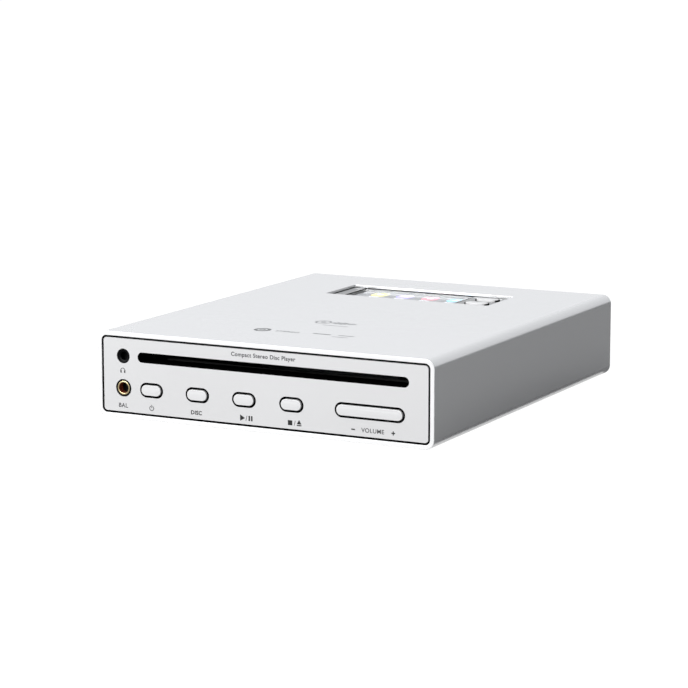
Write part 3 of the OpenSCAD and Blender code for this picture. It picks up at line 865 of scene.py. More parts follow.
@dataclass
class Sleeve:
    """The extruded sleeve around the player."""

    corner: float = 4 * MM
    wall: float = 1.8 * MM
    channel: float = 4 * MM
    channel_radius: float = 2.8 * MM
    channel_bore: float = 1.25 * MM
    channel_set: float = 3.3 * MM
    channel_length: float = 179 * MM
    edge: float = 0.35 * MM

    def build(self) -> None:
        """Shapes the sleeve with its screw channels, window and foot seats."""
        low, high = CASE.low.copy(), CASE.high.copy()
        high.z -= Legends.thickness
        shell = Workpiece.block(low, high).round_along(Y, self.corner, 14)
        inset = Vector((self.wall, -2 * self.wall, self.wall))
        hollow = Workpiece.block(low + inset, high - inset).round_along(Y, self.corner - self.wall, 10)
        shell.cut(hollow)
        for x, z in CASE.channels():
            start = (x, low.y + self.channel_set, z)
            shell.weld(Workpiece.rod(start, Y, self.channel_radius, self.channel_length, 32))
            shell.cut(Workpiece.rod((x, low.y, z), Y, self.channel_bore, high.y - low.y, 24))
        a, b = Window.opening()
        depth = Z * self.wall
        shell.cut(Workpiece.block(a - 2 * depth, b + depth).round_along(Z, Window.corner, 6))
        for foot in Feet.places():
            below = Vector((foot.x, foot.y, low.z - MM))
            shell.cut(Workpiece.rod(below, Z, Feet.seat_radius, Feet.seat_depth + MM, 48))
            shell.cut(Workpiece.rod(below, Z, Feet.screw_hole, self.wall + 2 * MM, 32))
        shell.soften(self.edge, 3).finished("sleeve", "case", Finishes.SLEEVE, "main_housing")
        # Painted highlight: the front faces of the rim get the brighter, less metallic rim finish.
        shell.trim(-Y, self.edge, Finishes.RIM_HIGHLIGHT)


@dataclass
class FrontPlate:
    """The plate that fills the front of the sleeve."""

    inset: float = 2.66 * MM
    corner: float = 1.4 * MM
    thickness: float = 3 * MM
    slot: Sequence[float] = (124 * MM, 4.3 * MM)
    slot_middle: Sequence[float] = (4 * MM, 26 * MM)
    key_gap: float = 0.97 * MM
    jack_holes: Sequence[tuple[str, float]] = (("headphone_jack", 3.1 * MM), ("balanced_jack", 3.7 * MM))
    spigot_fit: float = 0.05 * MM
    spigot_length: float = 6.5 * MM
    edge: float = 0.12 * MM

    def build(self) -> None:
        """Shapes the plate with its slot, the holes for keys and jacks, and a spigot at each corner."""
        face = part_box("front_panel")[0].y
        low, high = CASE.low, CASE.high
        plate = Workpiece.block(
            (low.x + self.inset, face, low.z + self.inset),
            (high.x - self.inset, face + self.thickness, high.z - self.inset),
        ).round_along(Y, self.corner, 10)
        ends = (face - self.thickness, face + 2 * self.thickness)
        slot_at = (self.slot_middle[0], CASE.under + self.slot_middle[1])
        plate.cut(Workpiece.pill(slot_at, *self.slot, *ends, steps=12))
        for key in FrontKeys.all():
            width, height = key.cap[0] + 2 * self.key_gap, key.cap[1] + 2 * self.key_gap
            plate.cut(Workpiece.pill(key.middle(), width, height, *ends, steps=12))
        for node, radius in self.jack_holes:
            x, z = middle_of(node)
            plate.cut(Workpiece.rod((x, ends[0], z), Y, radius, ends[1] - ends[0], 64))
        root, spigot = 0.5 * MM, Sleeve.channel_bore - self.spigot_fit
        for x, z in CASE.channels():
            start = (x, face + self.thickness - root, z)
            plate.weld(Workpiece.rod(start, Y, spigot, root + self.spigot_length, 24))
        plate.soften(self.edge, 2)
        plate.finished("front_plate", "case", Finishes.FRONT, "front_panel")


@dataclass
class PillKey:
    """One pill-shaped key with its flange and stem."""

    node: str
    body: str
    cap: Sequence[float] = (9.1 * MM, 4.3 * MM)
    flange_rim: float = 1.2 * MM
    flange_from: float = 3.4 * MM
    flange_depth: float = 1 * MM
    stems: Sequence[float] = (0.0,)
    stem_radius: float = 1.5 * MM
    edge: float = 0.16 * MM
    dome: float = 0.04 * MM

    def middle(self) -> tuple[float, float]:
        """The key's middle in X and Z."""
        return middle_of(self.node)

    def build(self) -> None:
        """Shapes the key with a crowned face and softened rim."""
        low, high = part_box(self.node)
        x, z = self.middle()
        width, height = self.cap
        flange = CASE.front + self.flange_from
        key = Workpiece.pill((x, z), width, height, low.y + self.dome, flange + self.flange_depth / 10)
        key.soften(self.edge, 5, 60).crown(-Y, self.dome, height * 0.3)
        rim = [size + 2 * self.flange_rim for size in self.cap]
        key.weld(Workpiece.pill((x, z), *rim, flange, flange + self.flange_depth))
        root = flange + self.flange_depth / 2
        for across in self.stems:
            key.weld(Workpiece.rod((x + across, root, z), Y, self.stem_radius, high.y - root, 24))
        key.finished(self.node + "_cap", self.body, Finishes.CAPS, self.node)


@dataclass
class FrontKeys:
    """The row of keys on the front."""

    # The black ring of painted gap shade in each key's hole: its clearance from the cap and how far back
    # from the face it starts.
    shade_clearance: float = 0.25 * MM
    shade_set: float = 0.06 * MM
    pin_radius: float = 0.9 * MM
    pin_set: float = 4.6 * MM

    @staticmethod
    def all() -> list[PillKey]:
        """Every key in the row, from left to right."""
        keys = [PillKey(name + "_button", name + "_key") for name in ("power", "source", "play", "stop")]
        rocker = PillKey(
            "volume_rocker",
            "volume_key",
            cap=(29.1 * MM, 4.3 * MM),
            flange_from=4.1 * MM,
            stems=(-10 * MM, 10 * MM),
        )
        return [*keys, rocker]

    def build(self) -> None:
        """Builds every key, the black rings of painted gap shade around them and the rocker's pivot pin."""
        for key in self.all():
            key.build()
        self._seals()
        low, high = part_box("volume_rocker")
        foot = ((low.x + high.x) / 2, CASE.front + self.pin_set, low.z)
        pin = Workpiece.rod(foot, Z, self.pin_radius, high.z - low.z, 24)
        pin.soften(0.15 * MM, 2).finished("rocker_pin", "volume_key", Finishes.SHAFT)

    def _seals(self) -> None:
        """A thin black ring of painted shade that lines the hole of each key, where the gap shows dark."""
        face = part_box("front_panel")[0].y
        ends = (face + self.shade_set, face + FrontPlate.thickness)
        shade_bands = []
        for key in self.all():
            outer = [size + 2 * FrontPlate.key_gap - HAIR for size in key.cap]
            inner = [size + 2 * self.shade_clearance for size in key.cap]
            shade_band = Workpiece.pill(key.middle(), *outer, *ends, steps=12)
            hole = Workpiece.pill(key.middle(), *inner, ends[0] - MM, ends[1] + MM, steps=12)
            shade_bands.append(shade_band.cut(hole))
        shade_bands[0].gather(*shade_bands[1:]).finished("key_seals", "case", Finishes.GAP_SHADE)


@dataclass
class RoundJack:
    """A headphone or line jack: a moulded body with a stepped round mouth."""

    node: str
    barrel: float
    steps: Sequence[tuple[float, float]]
    facing: Vector
    body_set: float = 3.4 * MM

    def build(self) -> None:
        """Shapes the jack's body and sinks its mouth."""
        low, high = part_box(self.node)
        x, z = middle_of(self.node)
        face, back = low.y, high.y
        if self.facing.y > 0:
            face, back = high.y, low.y
            z = high.z - (high.x - low.x) / 2
        inward = -self.facing
        y0, y1 = sorted((face + inward.y * self.body_set, back))
        housing = Workpiece.block((low.x, y0, low.z), (high.x, y1, high.z))
        barrel = Workpiece.rod((x, face, z), inward, self.barrel, self.body_set + MM, 64)
        barrel.sink(self.facing, self.steps)
        housing.round_along(Y, 0.5 * MM, 3)
        depth = sum(step[1] for step in self.steps)
        bore = self.barrel - sum(step[0] for step in self.steps)
        housing.cut(Workpiece.rod((x, face, z), inward, bore, depth, 48))
        housing.soften(0.12 * MM, 2)
        housing.gather(barrel.soften(0.1 * MM, 2))
        housing.finished(self.node + "_moulding", "case", Finishes.JACK, self.node)


@dataclass
class Jacks:
    """The two headphone jacks on the front and what shows inside them."""

    def build(self) -> None:
        """Builds both jacks, the gold ring and the linings."""
        mouth = ((0.6 * MM, 0.5 * MM), (0.6 * MM, 2.6 * MM))
        RoundJack("headphone_jack", 3 * MM, mouth, -Y, 3.3 * MM).build()
        RoundJack("balanced_jack", 3.6 * MM, ((0.65 * MM, 3 * MM),), -Y, 3.3 * MM).build()
        self._ring()
        self._lining("balanced_jack", 2.24 * MM, 4.05 * MM, 12 * MM, Finishes.CONTACT)
        self._sheath("balanced_jack_ring", 2.295 * MM, 0.05 * MM)

    @staticmethod
    def _ring() -> None:
        """The gold plated bush in the mouth of the balanced jack."""
        low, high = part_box("balanced_jack_ring")
        x, z = middle_of("balanced_jack_ring")
        bush = Workpiece.rod((x, low.y, z), Y, 2.9 * MM, high.y - low.y, 64)
        bush.sink(-Y, ((0.35 * MM, 0.0), (0.25 * MM, 0.35 * MM), (0.0, 3 * MM)))
        bush.soften(0.08 * MM, 2)
        bush.finished("balanced_bush", "case", Finishes.GOLD, "balanced_jack_ring")

    @staticmethod
    def _sheath(node: str, radius: float, wall: float) -> None:
        """The thin brown sheath inside the gold bush.

        Args:
            node: The design's node of the bush.
            radius: The outer radius of the sheath.
            wall: Its thickness.
        """
        low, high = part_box(node)
        x, z = middle_of(node)
        mouth = low.y + 0.3 * MM
        sheath = Workpiece.rod((x, mouth, z), Y, radius, high.y - mouth, 64)
        sheath.cut(Workpiece.rod((x, low.y, z), Y, radius - wall, 8 * MM, 64))
        sheath.finished("balanced_sheath", "case", Finishes.CONTACT)

    @staticmethod
    def _lining(node: str, radius: float, start: float, length: float, finish: Finish) -> None:
        """The lining of a jack's bore, with its contact rings.

        Args:
            node: The design's node of the jack.
            radius: The outer radius of the lining.
            start: Where it starts, back from the front edge.
            length: Its length.
            finish: What its surface is.
        """
        x, z = middle_of(node)
        lining = Workpiece.rod((x, CASE.front + start, z), Y, radius, length, 48)
        steps = [(0.12 * MM, 0.0)]
        for _ in range(3):
            steps += [(0.0, 1.6 * MM), (0.12 * MM, 0.0), (0.0, 0.6 * MM), (0.04 * MM, 0.0)]
        lining.sink(-Y, steps).soften(0.04 * MM, 1).finished(node + "_lining", "case", finish)


@dataclass
class SlotLips:
    """The felt lips, and the black lining of painted shade in the mouth of the disc slot."""

    felt: float = 0.76 * MM
    pile: float = 0.16 * MM
    fibre: float = 0.6 * MM
    cuts: int = 160
    # The black lining of painted shade on the walls of the slot's mouth: its width and how far back from
    # the face it starts.
    lining: float = 0.12 * MM
    lining_set: float = 0.06 * MM

    def build(self) -> None:
        """Builds a black lining of painted shade in the slot's mouth and a felt strip along each side of
        it.
        """
        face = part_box("front_panel")[0].y
        middle = (FrontPlate.slot_middle[0], CASE.under + FrontPlate.slot_middle[1])
        ends = (face + self.lining_set, face + FrontPlate.thickness)
        outer = Workpiece.pill(middle, *(size - HAIR for size in FrontPlate.slot), *ends, steps=12)
        inner_size = (size - 2 * self.lining for size in FrontPlate.slot)
        outer.cut(Workpiece.pill(middle, *inner_size, ends[0] - MM, ends[1] + MM, steps=12))
        outer.finished("slot_lining", "case", Finishes.GAP_SHADE)
        low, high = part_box("slot_felts")
        lips = [
            self._strip((low.x, low.y, z), (high.x, high.y, z + self.felt))
            for z in (low.z, high.z - self.felt)
        ]
        lips[0].gather(lips[1]).finished("slot_felt_lips", "case", Finishes.FELT, "slot_felts")

    def _strip(self, low: Sequence[float], high: Sequence[float]) -> Workpiece:
        """A felt strip with a fibrous surface.

        Args:
            low: Its lowest corner.
            high: Its highest corner.

        Returns:
            The strip.
        """
        strip = Workpiece.block(low, high).round_along(X, 0.25 * MM, 3)
        strip.edit_edges_along(X)
        bpy.ops.mesh.subdivide(number_cuts=self.cuts)
        bpy.ops.object.mode_set(mode="OBJECT")
        noise = bpy.data.textures.new("felt fibres", "CLOUDS")
        noise.noise_scale = self.fibre
        strip.modify(
            "DISPLACE", texture=noise, strength=-self.pile, mid_level=0.0, texture_coords="LOCAL"
        )
        return strip


@dataclass
class Window:
    """The window in the top: frame, glass, display, black strips of painted gap shade, skip keys and the
    lit icons.
    """

    rim: float = 2 * MM
    corner: float = 1 * MM
    fit: float = 0.05 * MM
    plate: float = 0.95 * MM
    glass_gap: float = 0.25 * MM
    skip_keys: Sequence[str] = ("skip_back", "skip_forward")
    key_gap: float = 0.55 * MM
    key_size: Sequence[float] = (10.5 * MM, 5 * MM)
    key_dome: float = 0.04 * MM
    flange_rim: float = 1 * MM
    flange: float = 0.6 * MM
    # The black strips of painted shade at the foot of the hole's walls, in the gaps around the glass and
    # the skip keys, and the lips along the glass's far and left edges.
    shade_band: float = 0.55 * MM
    shade_height: float = 0.12 * MM
    shade_rise: float = 0.03 * MM
    shade_clearance: float = 0.12 * MM
    lip: Sequence[float] = (0.3 * MM, 0.22 * MM)
    icon: Sequence[float] = (7 * MM, 8.5 * MM)
    icon_depth: float = 0.1 * MM
    icon_set: float = 0.03 * MM
    icon_y: float = 151 * MM
    first_icon_x: float = -21.5 * MM
    icon_pitch: float = 12.6 * MM
    icon_colours: Sequence[Colour] = (
        (1.0, 0.86, 0.25), (0.48, 0.42, 0.95), (0.95, 0.25, 0.32), (0.25, 0.70, 0.95)
    )

    @staticmethod
    def opening() -> tuple[Vector, Vector]:
        """The corners of the hole in the sleeve, at the height of its top."""
        low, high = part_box("display_bezel")
        inset = Vector((Window.rim, Window.rim, 0))
        a, b = low + inset, high - inset
        a.z = b.z = CASE.high.z
        return a, b

    def build(self) -> None:
        """Builds the frame, the glass, the display and the skip keys."""
        self._frame()
        low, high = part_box("display_glass")
        glass = Workpiece.block(low, high).round_along(Z, 0.6 * MM, 4).soften(0.1 * MM, 2)
        glass.finished("window_glass", "case", Finishes.GLASS, "display_glass")
        self._seals()
        low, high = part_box("display_panel")
        panel = Workpiece.block(low, high).round_along(Z, 1.3 * MM, 5)
        panel.sink(Z, ((0.8 * MM, 0.0), (0.3 * MM, 0.12 * MM)))
        panel.soften(0.08 * MM, 2).finished("display_module", "case", Finishes.DISPLAY, "display_panel")
        self._icons(high.z)
        for key in self.skip_keys:
            self._skip_key(key + "_button", key + "_key")

    def _frame(self) -> None:
        """The frame around the glass, raised inside the sleeve's hole, with a hole for each skip key."""
        low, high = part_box("display_bezel")
        plate_top = Vector((high.x, high.y, low.z + self.plate))
        frame_piece = Workpiece.block(low, plate_top).round_along(Z, self.corner, 6)
        a, b = self.opening()
        inset = Vector((self.fit, self.fit, 0))
        a.z, b.z = low.z + self.plate / 2, high.z
        frame_piece.weld(Workpiece.block(a + inset, b - inset).round_along(Z, self.corner - self.fit, 6))
        margin = Vector((self.glass_gap, self.glass_gap, 2 * MM))
        a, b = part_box("display_glass")
        frame_piece.cut(Workpiece.block(a - margin, b + margin).round_along(Z, 0.8 * MM, 4))
        for key in self.skip_keys:
            frame_piece.cut(self._upright_pill(key + "_button", self.key_gap))
        frame_piece.soften(0.08 * MM, 2).finished("window_frame", "case", Finishes.BEZEL, "display_bezel")

    def _seals(self) -> None:
        """Black strips of painted shade at the foot of the hole's walls, in the gaps around the glass and
        around the skip keys.
        """
        low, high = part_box("display_bezel")
        outwards = X + Y
        a, b = self.opening()
        a.z, b.z = high.z, high.z + self.shade_height
        shade_bands = [self._ring(a + HAIR * outwards, b - HAIR * outwards, self.shade_band, self.corner)]
        a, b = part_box("display_glass")
        a.z, b.z = b.z, b.z + self.shade_rise
        gap = (self.glass_gap - 2 * HAIR) * outwards
        shade_bands.append(self._ring(a - gap, b + gap, self.glass_gap + 0.2 * MM, 0.7 * MM))
        width, rise = self.lip
        far = (a.x, b.y + gap.y - width, a.z)
        shade_bands.append(Workpiece.block(far, (b.x, b.y + gap.y, a.z + rise)))
        shade_bands.append(Workpiece.block(a - gap, (a.x - gap.x + width, b.y, a.z + rise)))
        for key in self.skip_keys:
            node = key + "_button"
            shade_bands.append(self._end_shades(node, high.z - 2 * self.fit))
            outer = self._upright_pill(
                node, self.key_gap - HAIR / 2, low.z + 2 * self.fit, high.z - self.fit
            )
            shade_bands.append(outer.cut(self._upright_pill(node, self.shade_clearance)))
        shade_bands[0].gather(*shade_bands[1:]).finished("window_seals", "case", Finishes.GAP_SHADE)

    def _end_shades(self, node: str, foot: float) -> Workpiece:
        """The raised black collars of painted shadow at the two round ends of a skip key.

        Args:
            node: The skip key.
            foot: The foot of the seals.

        Returns:
            Both collars.
        """
        low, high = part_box(node)
        top = high.z - 0.3 * MM
        collar = self._upright_pill(node, self.key_gap - self.fit, foot, top)
        collar.cut(self._upright_pill(node, self.shade_clearance))
        half = Vector((self.key_size[0] / 2 - 0.6 * MM, self.key_size[1], 4 * MM))
        middle = (low + high) / 2
        return collar.cut(Workpiece.block(middle - half, middle + half))

    @staticmethod
    def _ring(low: Vector, high: Vector, width: float, corner: float) -> Workpiece:
        """A flat frame with round corners.

        Args:
            low: Its lowest corner.
            high: Its highest corner.
            width: The width of its sides.
            corner: The radius of its corners.

        Returns:
            The frame.
        """
        inset = Vector((width, width, -MM))
        ring = Workpiece.block(low, high).round_along(Z, corner, 6)
        hole = Workpiece.block(low + inset, high - inset)
        return ring.cut(hole.round_along(Z, max(corner - width, 0.2 * MM), 6))

    def _upright_pill(
        self, node: str, margin: float, z0: float | None = None, z1: float | None = None
    ) -> Workpiece:
        """A pill-shaped bar along Z, over a skip key's place.

        Args:
            node: The skip key.
            margin: How much wider than the key's cap it is, all round.
            z0: Its lower end, or none for well below the key.
            z1: Its upper end, or none for well above the key.

        Returns:
            The bar.
        """
        low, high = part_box(node)
        x, y = (low.x + high.x) / 2, (low.y + high.y) / 2
        width, height = (size + 2 * margin for size in self.key_size)
        bottom = low.z - 2 * MM if z0 is None else z0
        top = high.z + 2 * MM if z1 is None else z1
        corner = Vector((width / 2, height / 2, 0))
        bar = Workpiece.block(Vector((x, y, bottom)) - corner, Vector((x, y, top)) + corner)
        return bar.round_along(Z, height * FULL_ROUND, 12)

    def _skip_key(self, node: str, body: str) -> None:
        """One of the two keys beside the glass.

        Args:
            node: The design's node of the key.
            body: The body that it rides on.
        """
        low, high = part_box(node)
        rim = low.z + self.flange
        key = self._upright_pill(node, 0.0, rim - 0.1 * MM, high.z - self.key_dome)
        key.soften(0.18 * MM, 4, 60).crown(Z, self.key_dome, 1.4 * MM)
        key.weld(self._upright_pill(node, self.flange_rim, low.z, rim))
        key.finished(node + "_cap", body, Finishes.CAPS, node)

    def _icons(self, top: float) -> None:
        """The lit icons of the display's menu.

        Args:
            top: The top of the display.
        """
        half = Vector((self.icon[0] / 2, self.icon[1] / 2, 0))
        y = CASE.front + self.icon_y
        for number, colour in enumerate(self.icon_colours):
            x = self.first_icon_x + number * self.icon_pitch
            middle = Vector((x, y, top))
            tile = Workpiece.block(middle - half - self.icon_depth * Z, middle + half - self.icon_set * Z)
            tile.round_along(Z, self.icon[0] * 0.3, 6)
            name = f"menu_icon_{number + 1}"
            lit = LitFinish(name, "display_dark", colour, 0, 0.4, tone=0.1, glow=1.1)
            tile.finished(name, "case", lit)
            marks = [self._mark(x, y, number, top), self._caption(x, y, top)]
            marks[0].gather(*marks[1:]).finished(name + "_mark", "case", Finishes.MARKS)

    def _mark(self, x: float, y: float, number: int, top: float) -> Workpiece:
        """A plain mark on an icon: a ring or three bars, in turn.

        Args:
            x: The icon's place along X.
            y: The icon's place along Y.
            number: Which icon it is on.
            top: The top of the display.

        Returns:
            The mark.
        """
        base, rise = top - self.icon_set, 2 * HAIR
        if number % 2 == 0:
            ring = Workpiece.rod((x, y, base), Z, 1.6 * MM, rise, 32)
            return ring.cut(Workpiece.rod((x, y, base - rise), Z, 0.7 * MM, 3 * rise, 24))
        pitch, half, foot = 1.2 * MM, 0.35 * MM, y - 1.4 * MM
        bars = [
            Workpiece.block(
                (x + (i - 1) * pitch - half, foot, base),
                (x + (i - 1) * pitch + half, foot + length * MM, base + rise),
            )
            for i, length in enumerate((1.6, 2.8, 2.1))
        ]
        return bars[0].gather(*bars[1:])

    @staticmethod
    def _caption(x: float, y: float, top: float) -> Workpiece:
        """A short plain bar under an icon, where its caption would be."""
        middle = Vector((x, y - 6.7 * MM, top - 0.05 * MM))
        half = Vector((2.4 * MM, 0.5 * MM, 0.03 * MM))
        return Workpiece.block(middle - half, middle + half)


@dataclass
class Feet:
    """The four rubber feet and their screws."""

    radius: float = 6 * MM
    seat_radius: float = 6.15 * MM
    seat_depth: float = 0.6 * MM
    screw_hole: float = 1.6 * MM
    head_radius: float = 2.9 * MM
    head_height: float = 1 * MM
    shank_radius: float = 1.4 * MM

    @staticmethod
    def places() -> list[Vector]:
        """The middle of each foot, in X and Y."""
        low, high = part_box("rubber_feet")
        radius = Feet.radius
        return [
            Vector((x, y, low.z))
            for x in (low.x + radius, high.x - radius)
            for y in (low.y + radius, high.y - radius)
        ]

    def build(self) -> None:
        """Turns each foot from a disc, with a rounded rim and a deep screw seat."""
        low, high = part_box("rubber_feet")
        screw_low, screw_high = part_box("foot_screws")
        feet, screws = [], []
        for place in self.places():
            foot = Workpiece.rod(place, Z, self.radius, high.z - low.z, 64)
            foot.sink(-Z, ((0.7 * MM, 0.0), (0.25 * MM, 0.2 * MM), (1.1 * MM, 0.0), (0.85 * MM, 1 * MM)))
            foot.cut(Workpiece.rod(place, Z, 1.7 * MM, 4 * MM, 32)).soften(0.25 * MM, 3)
            feet.append(foot)
            seat = Vector((place.x, place.y, screw_low.z))
            head = Workpiece.rod(seat, Z, self.head_radius, self.head_height, 48)
            head.sink(-Z, ((0.5 * MM, 0.0), (0.9 * MM, 0.0), (0.0, 0.45 * MM))).soften(0.12 * MM, 2)
            root = seat + Z * 0.9 * self.head_height
            head.gather(Workpiece.rod(root, Z, self.shank_radius, screw_high.z - root.z, 24))
            screws.append(head)
        feet[0].gather(*feet[1:]).finished("turned_feet", "case", Finishes.FEET, "rubber_feet")
        screws[0].gather(*screws[1:]).finished("foot_fixings", "case", Finishes.SCREWS, "foot_screws")


@dataclass
class Rear:
    """The rear plate with its sockets and screws."""

    corner: float = 2.1 * MM
    jack_hole: float = 3.1 * MM
    screw_hole: float = 1.6 * MM
    head_radius: float = 2.05 * MM
    head_height: float = 1 * MM
    shank_radius: float = 1.2 * MM
    margin: float = 2 * MM

    def build(self) -> None:
        """Shapes the plate, its screws and its sockets."""
        low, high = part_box("rear_panel")
        plate = Workpiece.block(low, high).round_along(Y, self.corner, 10)
        y0, y1 = low.y - self.margin, high.y + self.margin
        openings = (("usb_socket", 0.3 * MM, FULL_ROUND), ("optical_socket", 0.2 * MM, 0.05))
        for node, extra, round_by in openings:
            a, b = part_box(node)
            hole = Workpiece.block((a.x - extra, y0, a.z - extra), (b.x + extra, y1, b.z + extra))
            plate.cut(hole.round_along(Y, (b.z - a.z + 2 * extra) * round_by, 8))
        for node in ("coaxial_jack", "line_out_jack"):
            a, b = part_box(node)
            start = ((a.x + b.x) / 2, y0, b.z - (b.x - a.x) / 2)
            plate.cut(Workpiece.rod(start, Y, self.jack_hole, y1 - y0, 48))
        for x, z in CASE.channels():
            plate.cut(Workpiece.rod((x, y0, z), Y, self.screw_hole, y1 - y0, 32))
        plate.soften(0.2 * MM, 2).finished("rear_plate", "case", Finishes.REAR, "rear_panel")
        self._screws()
        self._sockets()

    def _screws(self) -> None:
        """Button-head screws with a hexagon socket."""
        low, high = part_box("rear_screws")
        made = []
        root = high.y - 0.9 * self.head_height
        for x, z in CASE.channels():
            seat = (x, high.y - self.head_height, z)
            head = Workpiece.rod(seat, Y, self.head_radius, self.head_height, 48)
            head.soften(0.35 * MM, 4, 60)
            head.cut(Workpiece.rod((x, high.y - 0.6 * MM, z), Y, 1.05 * MM, 2 * MM, 6))
            made.append(head.gather(Workpiece.rod((x, low.y, z), Y, self.shank_radius, root - low.y, 24)))
        made[0].gather(*made[1:]).finished("rear_fixings", "case", Finishes.SCREWS, "rear_screws")

    def _sockets(self) -> None:
        """The power, optical, coaxial and line sockets."""
        mouth = ((0.45 * MM, 0.3 * MM), (0.75 * MM, 2.4 * MM))
        for node in ("coaxial_jack", "line_out_jack"):
            RoundJack(node, 3 * MM, mouth, Y, 1.9 * MM).build()
        low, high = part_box("usb_socket")
        x, z = middle_of("usb_socket")
        shell = Workpiece.pill((x, z), high.x - low.x, high.z - low.z, low.y, high.y)
        shell.sink(Y, ((0.3 * MM, 6.9 * MM),)).soften(0.06 * MM, 2)
        tongue_width, tongue_thickness = 6.6 * MM, 0.7 * MM
        tongue = Workpiece.block(
            (x - tongue_width / 2, low.y + 0.8 * MM, z - tongue_thickness / 2),
            (x + tongue_width / 2, high.y - 1.2 * MM, z + tongue_thickness / 2),
        ).soften(0.12 * MM, 2)
        shell.gather(tongue).finished("power_socket", "case", Finishes.TIN, "usb_socket")
        low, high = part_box("optical_socket")
        port = Workpiece.block(low, high)
        port.sink(Y, ((1.2 * MM, 0.0), (0.7 * MM, 0.5 * MM), (0.0, 8.2 * MM)))
        port.soften(0.15 * MM, 2).finished("optical_port", "case", Finishes.SWITCH, "optical_socket")


@dataclass
class Legends:
    """The printed signs on the front, the top and the rear."""

    thickness: float = 0.02 * MM
    stroke: float = 0.3 * MM
    front_row: float = 5.2 * MM
    rear_row: float = 21.5 * MM

    def build(self) -> None:
        """Prints every sign."""
        self._front()
        self._top()
        self._rear()

    def _at(self, x: float, z: float) -> Vector:
        """A point on the face of the front plate."""
        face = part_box("front_panel")[0].y
        return Vector((x, face - self.thickness / 2, CASE.under + z))

    def _bar(self, x: float, z: float, width: float, height: float) -> Workpiece:
        """A printed bar on the front, by its middle and size."""
        p = self._at(x, z)
        half = Vector((width / 2, self.thickness / 2, height / 2))
        return Workpiece.block(p - half, p + half)

    def _triangle(self, x: float, z: float, size: float, up: bool) -> Workpiece:
        """A printed triangle on the front that points right, or up."""
        p = self._at(x, z)
        sign = Workpiece.rod(p - Y * self.thickness / 2, Y, size, self.thickness, 3)
        tip = max(sign.piece.data.vertices, key=lambda v: (v.co - p).dot(Z if up else X))
        wanted = math.pi / 2 if up else 0.0
        found = math.atan2(tip.co.z - p.z, tip.co.x - p.x)
        sign.edit("FACE", lambda f: True)
        bpy.ops.transform.rotate(value=wanted - found, orient_axis="Y", center_override=p)
        bpy.ops.object.mode_set(mode="OBJECT")
        return sign

    def _slash(self, x: float, z: float) -> Workpiece:
        """A printed slash on the front."""
        sign = self._bar(x, z, self.stroke * 0.7, 2.1 * MM)
        sign.edit("FACE", lambda f: True)
        bpy.ops.transform.rotate(value=math.radians(-14), orient_axis="Y", center_override=self._at(x, z))
        bpy.ops.object.mode_set(mode="OBJECT")
        return sign

    def _ring(self, middle: Vector, axis: Vector, radius: float, stroke: float) -> Workpiece:
        """A printed ring.

        Args:
            middle: Its middle.
            axis: The way that it faces.
            radius: Its outer radius.
            stroke: The width of its line.

        Returns:
            The ring.
        """
        base = middle - axis * self.thickness / 2
        ring = Workpiece.rod(base, axis, radius, self.thickness, 40)
        return ring.cut(Workpiece.rod(base - axis * MM, axis, radius - stroke, 2 * MM, 40))

    def _text(self, text: str, x: float, z: float, size: float, weight: float = 0.05 * MM) -> Workpiece:
        """Lettering on the front, by its middle and height."""
        return Workpiece.lettering(text, self._at(x, z), size, (math.pi / 2, 0, 0), weight)

    def _front(self) -> None:
        """The signs under the slot, the jacks and the keys."""
        row = self.front_row
        jack, power = -65.2 * MM, -51.5 * MM
        dome = self._ring(self._at(jack, 19.9 * MM), Y, 1.15 * MM, self.stroke)
        below, half = self._at(jack, 18.3 * MM), Vector((3, 1, 1.6)) * MM
        dome.cut(Workpiece.block(below - half, below + half))
        cups = [self._bar(jack + side * 0.9 * MM, 19.45 * MM, 0.62 * MM, 1.05 * MM) for side in (-1, 1)]
        dial = self._ring(self._at(power, row), Y, 1.1 * MM, self.stroke)
        above, half = self._at(power, row + 1.2 * MM), Vector((0.42, 1, 0.7)) * MM
        dial.cut(Workpiece.block(above - half, above + half))
        play, stop = -7.1 * MM, 15.2 * MM
        minus, volume, plus = 41.5 * MM, 50.2 * MM, 59.2 * MM
        soft = [
            dial,
            self._bar(power, row + 0.75 * MM, self.stroke, 1.3 * MM),
            self._text("Compact Stereo Disc Player", 0.9 * MM, 31 * MM, 2.35 * MM),
            self._text("BAL", jack, row, 2.5 * MM),
            self._text("VOLUME", volume, row, 2.45 * MM, 0.03 * MM),
        ]
        dome.gather(*soft).finished("front_legends", "case", Finishes.SOFT_INK)
        signs = [
            *cups,
            self._text("DISC", -30.2 * MM, row, 2.3 * MM, 0.07 * MM),
            self._triangle(play - 1.9 * MM, row, 1.5 * MM, False),
            self._slash(play + 0.3 * MM, row),
            self._bar(play + 1.6 * MM, row, 0.72 * MM, 2.1 * MM),
            self._bar(play + 2.75 * MM, row, 0.72 * MM, 2.1 * MM),
            self._bar(stop - 2 * MM, row, 2 * MM, 2 * MM),
            self._slash(stop + 0.1 * MM, row),
            self._triangle(stop + 2.1 * MM, row + 0.3 * MM, 1.2 * MM, True),
            self._bar(stop + 2.1 * MM, row - 0.8 * MM, 2.1 * MM, 0.45 * MM),
            self._bar(minus, row, 1.7 * MM, 0.5 * MM),
            self._bar(plus, row, 1.65 * MM, 0.48 * MM),
            self._bar(plus, row, 0.48 * MM, 1.65 * MM),
        ]
        signs[0].gather(*signs[1:]).finished("control_legends", "case", Finishes.INK)

    def _top(self) -> None:
        """Faint plain signs on the top: a disc with sound bars, and a disc with a word and three bars."""
        face = CASE.high.z - self.thickness / 2

        def point(x: float, y: float) -> Vector:
            """A point on the top, given back from the front edge."""
            return Vector((x, CASE.front + y, face))

        def bar(x: float, y: float, width: float, depth: float) -> Workpiece:
            """A printed bar on the top, by its middle and size."""
            half = Vector((width / 2, depth / 2, self.thickness / 2))
            return Workpiece.block(point(x, y) - half, point(x, y) + half)

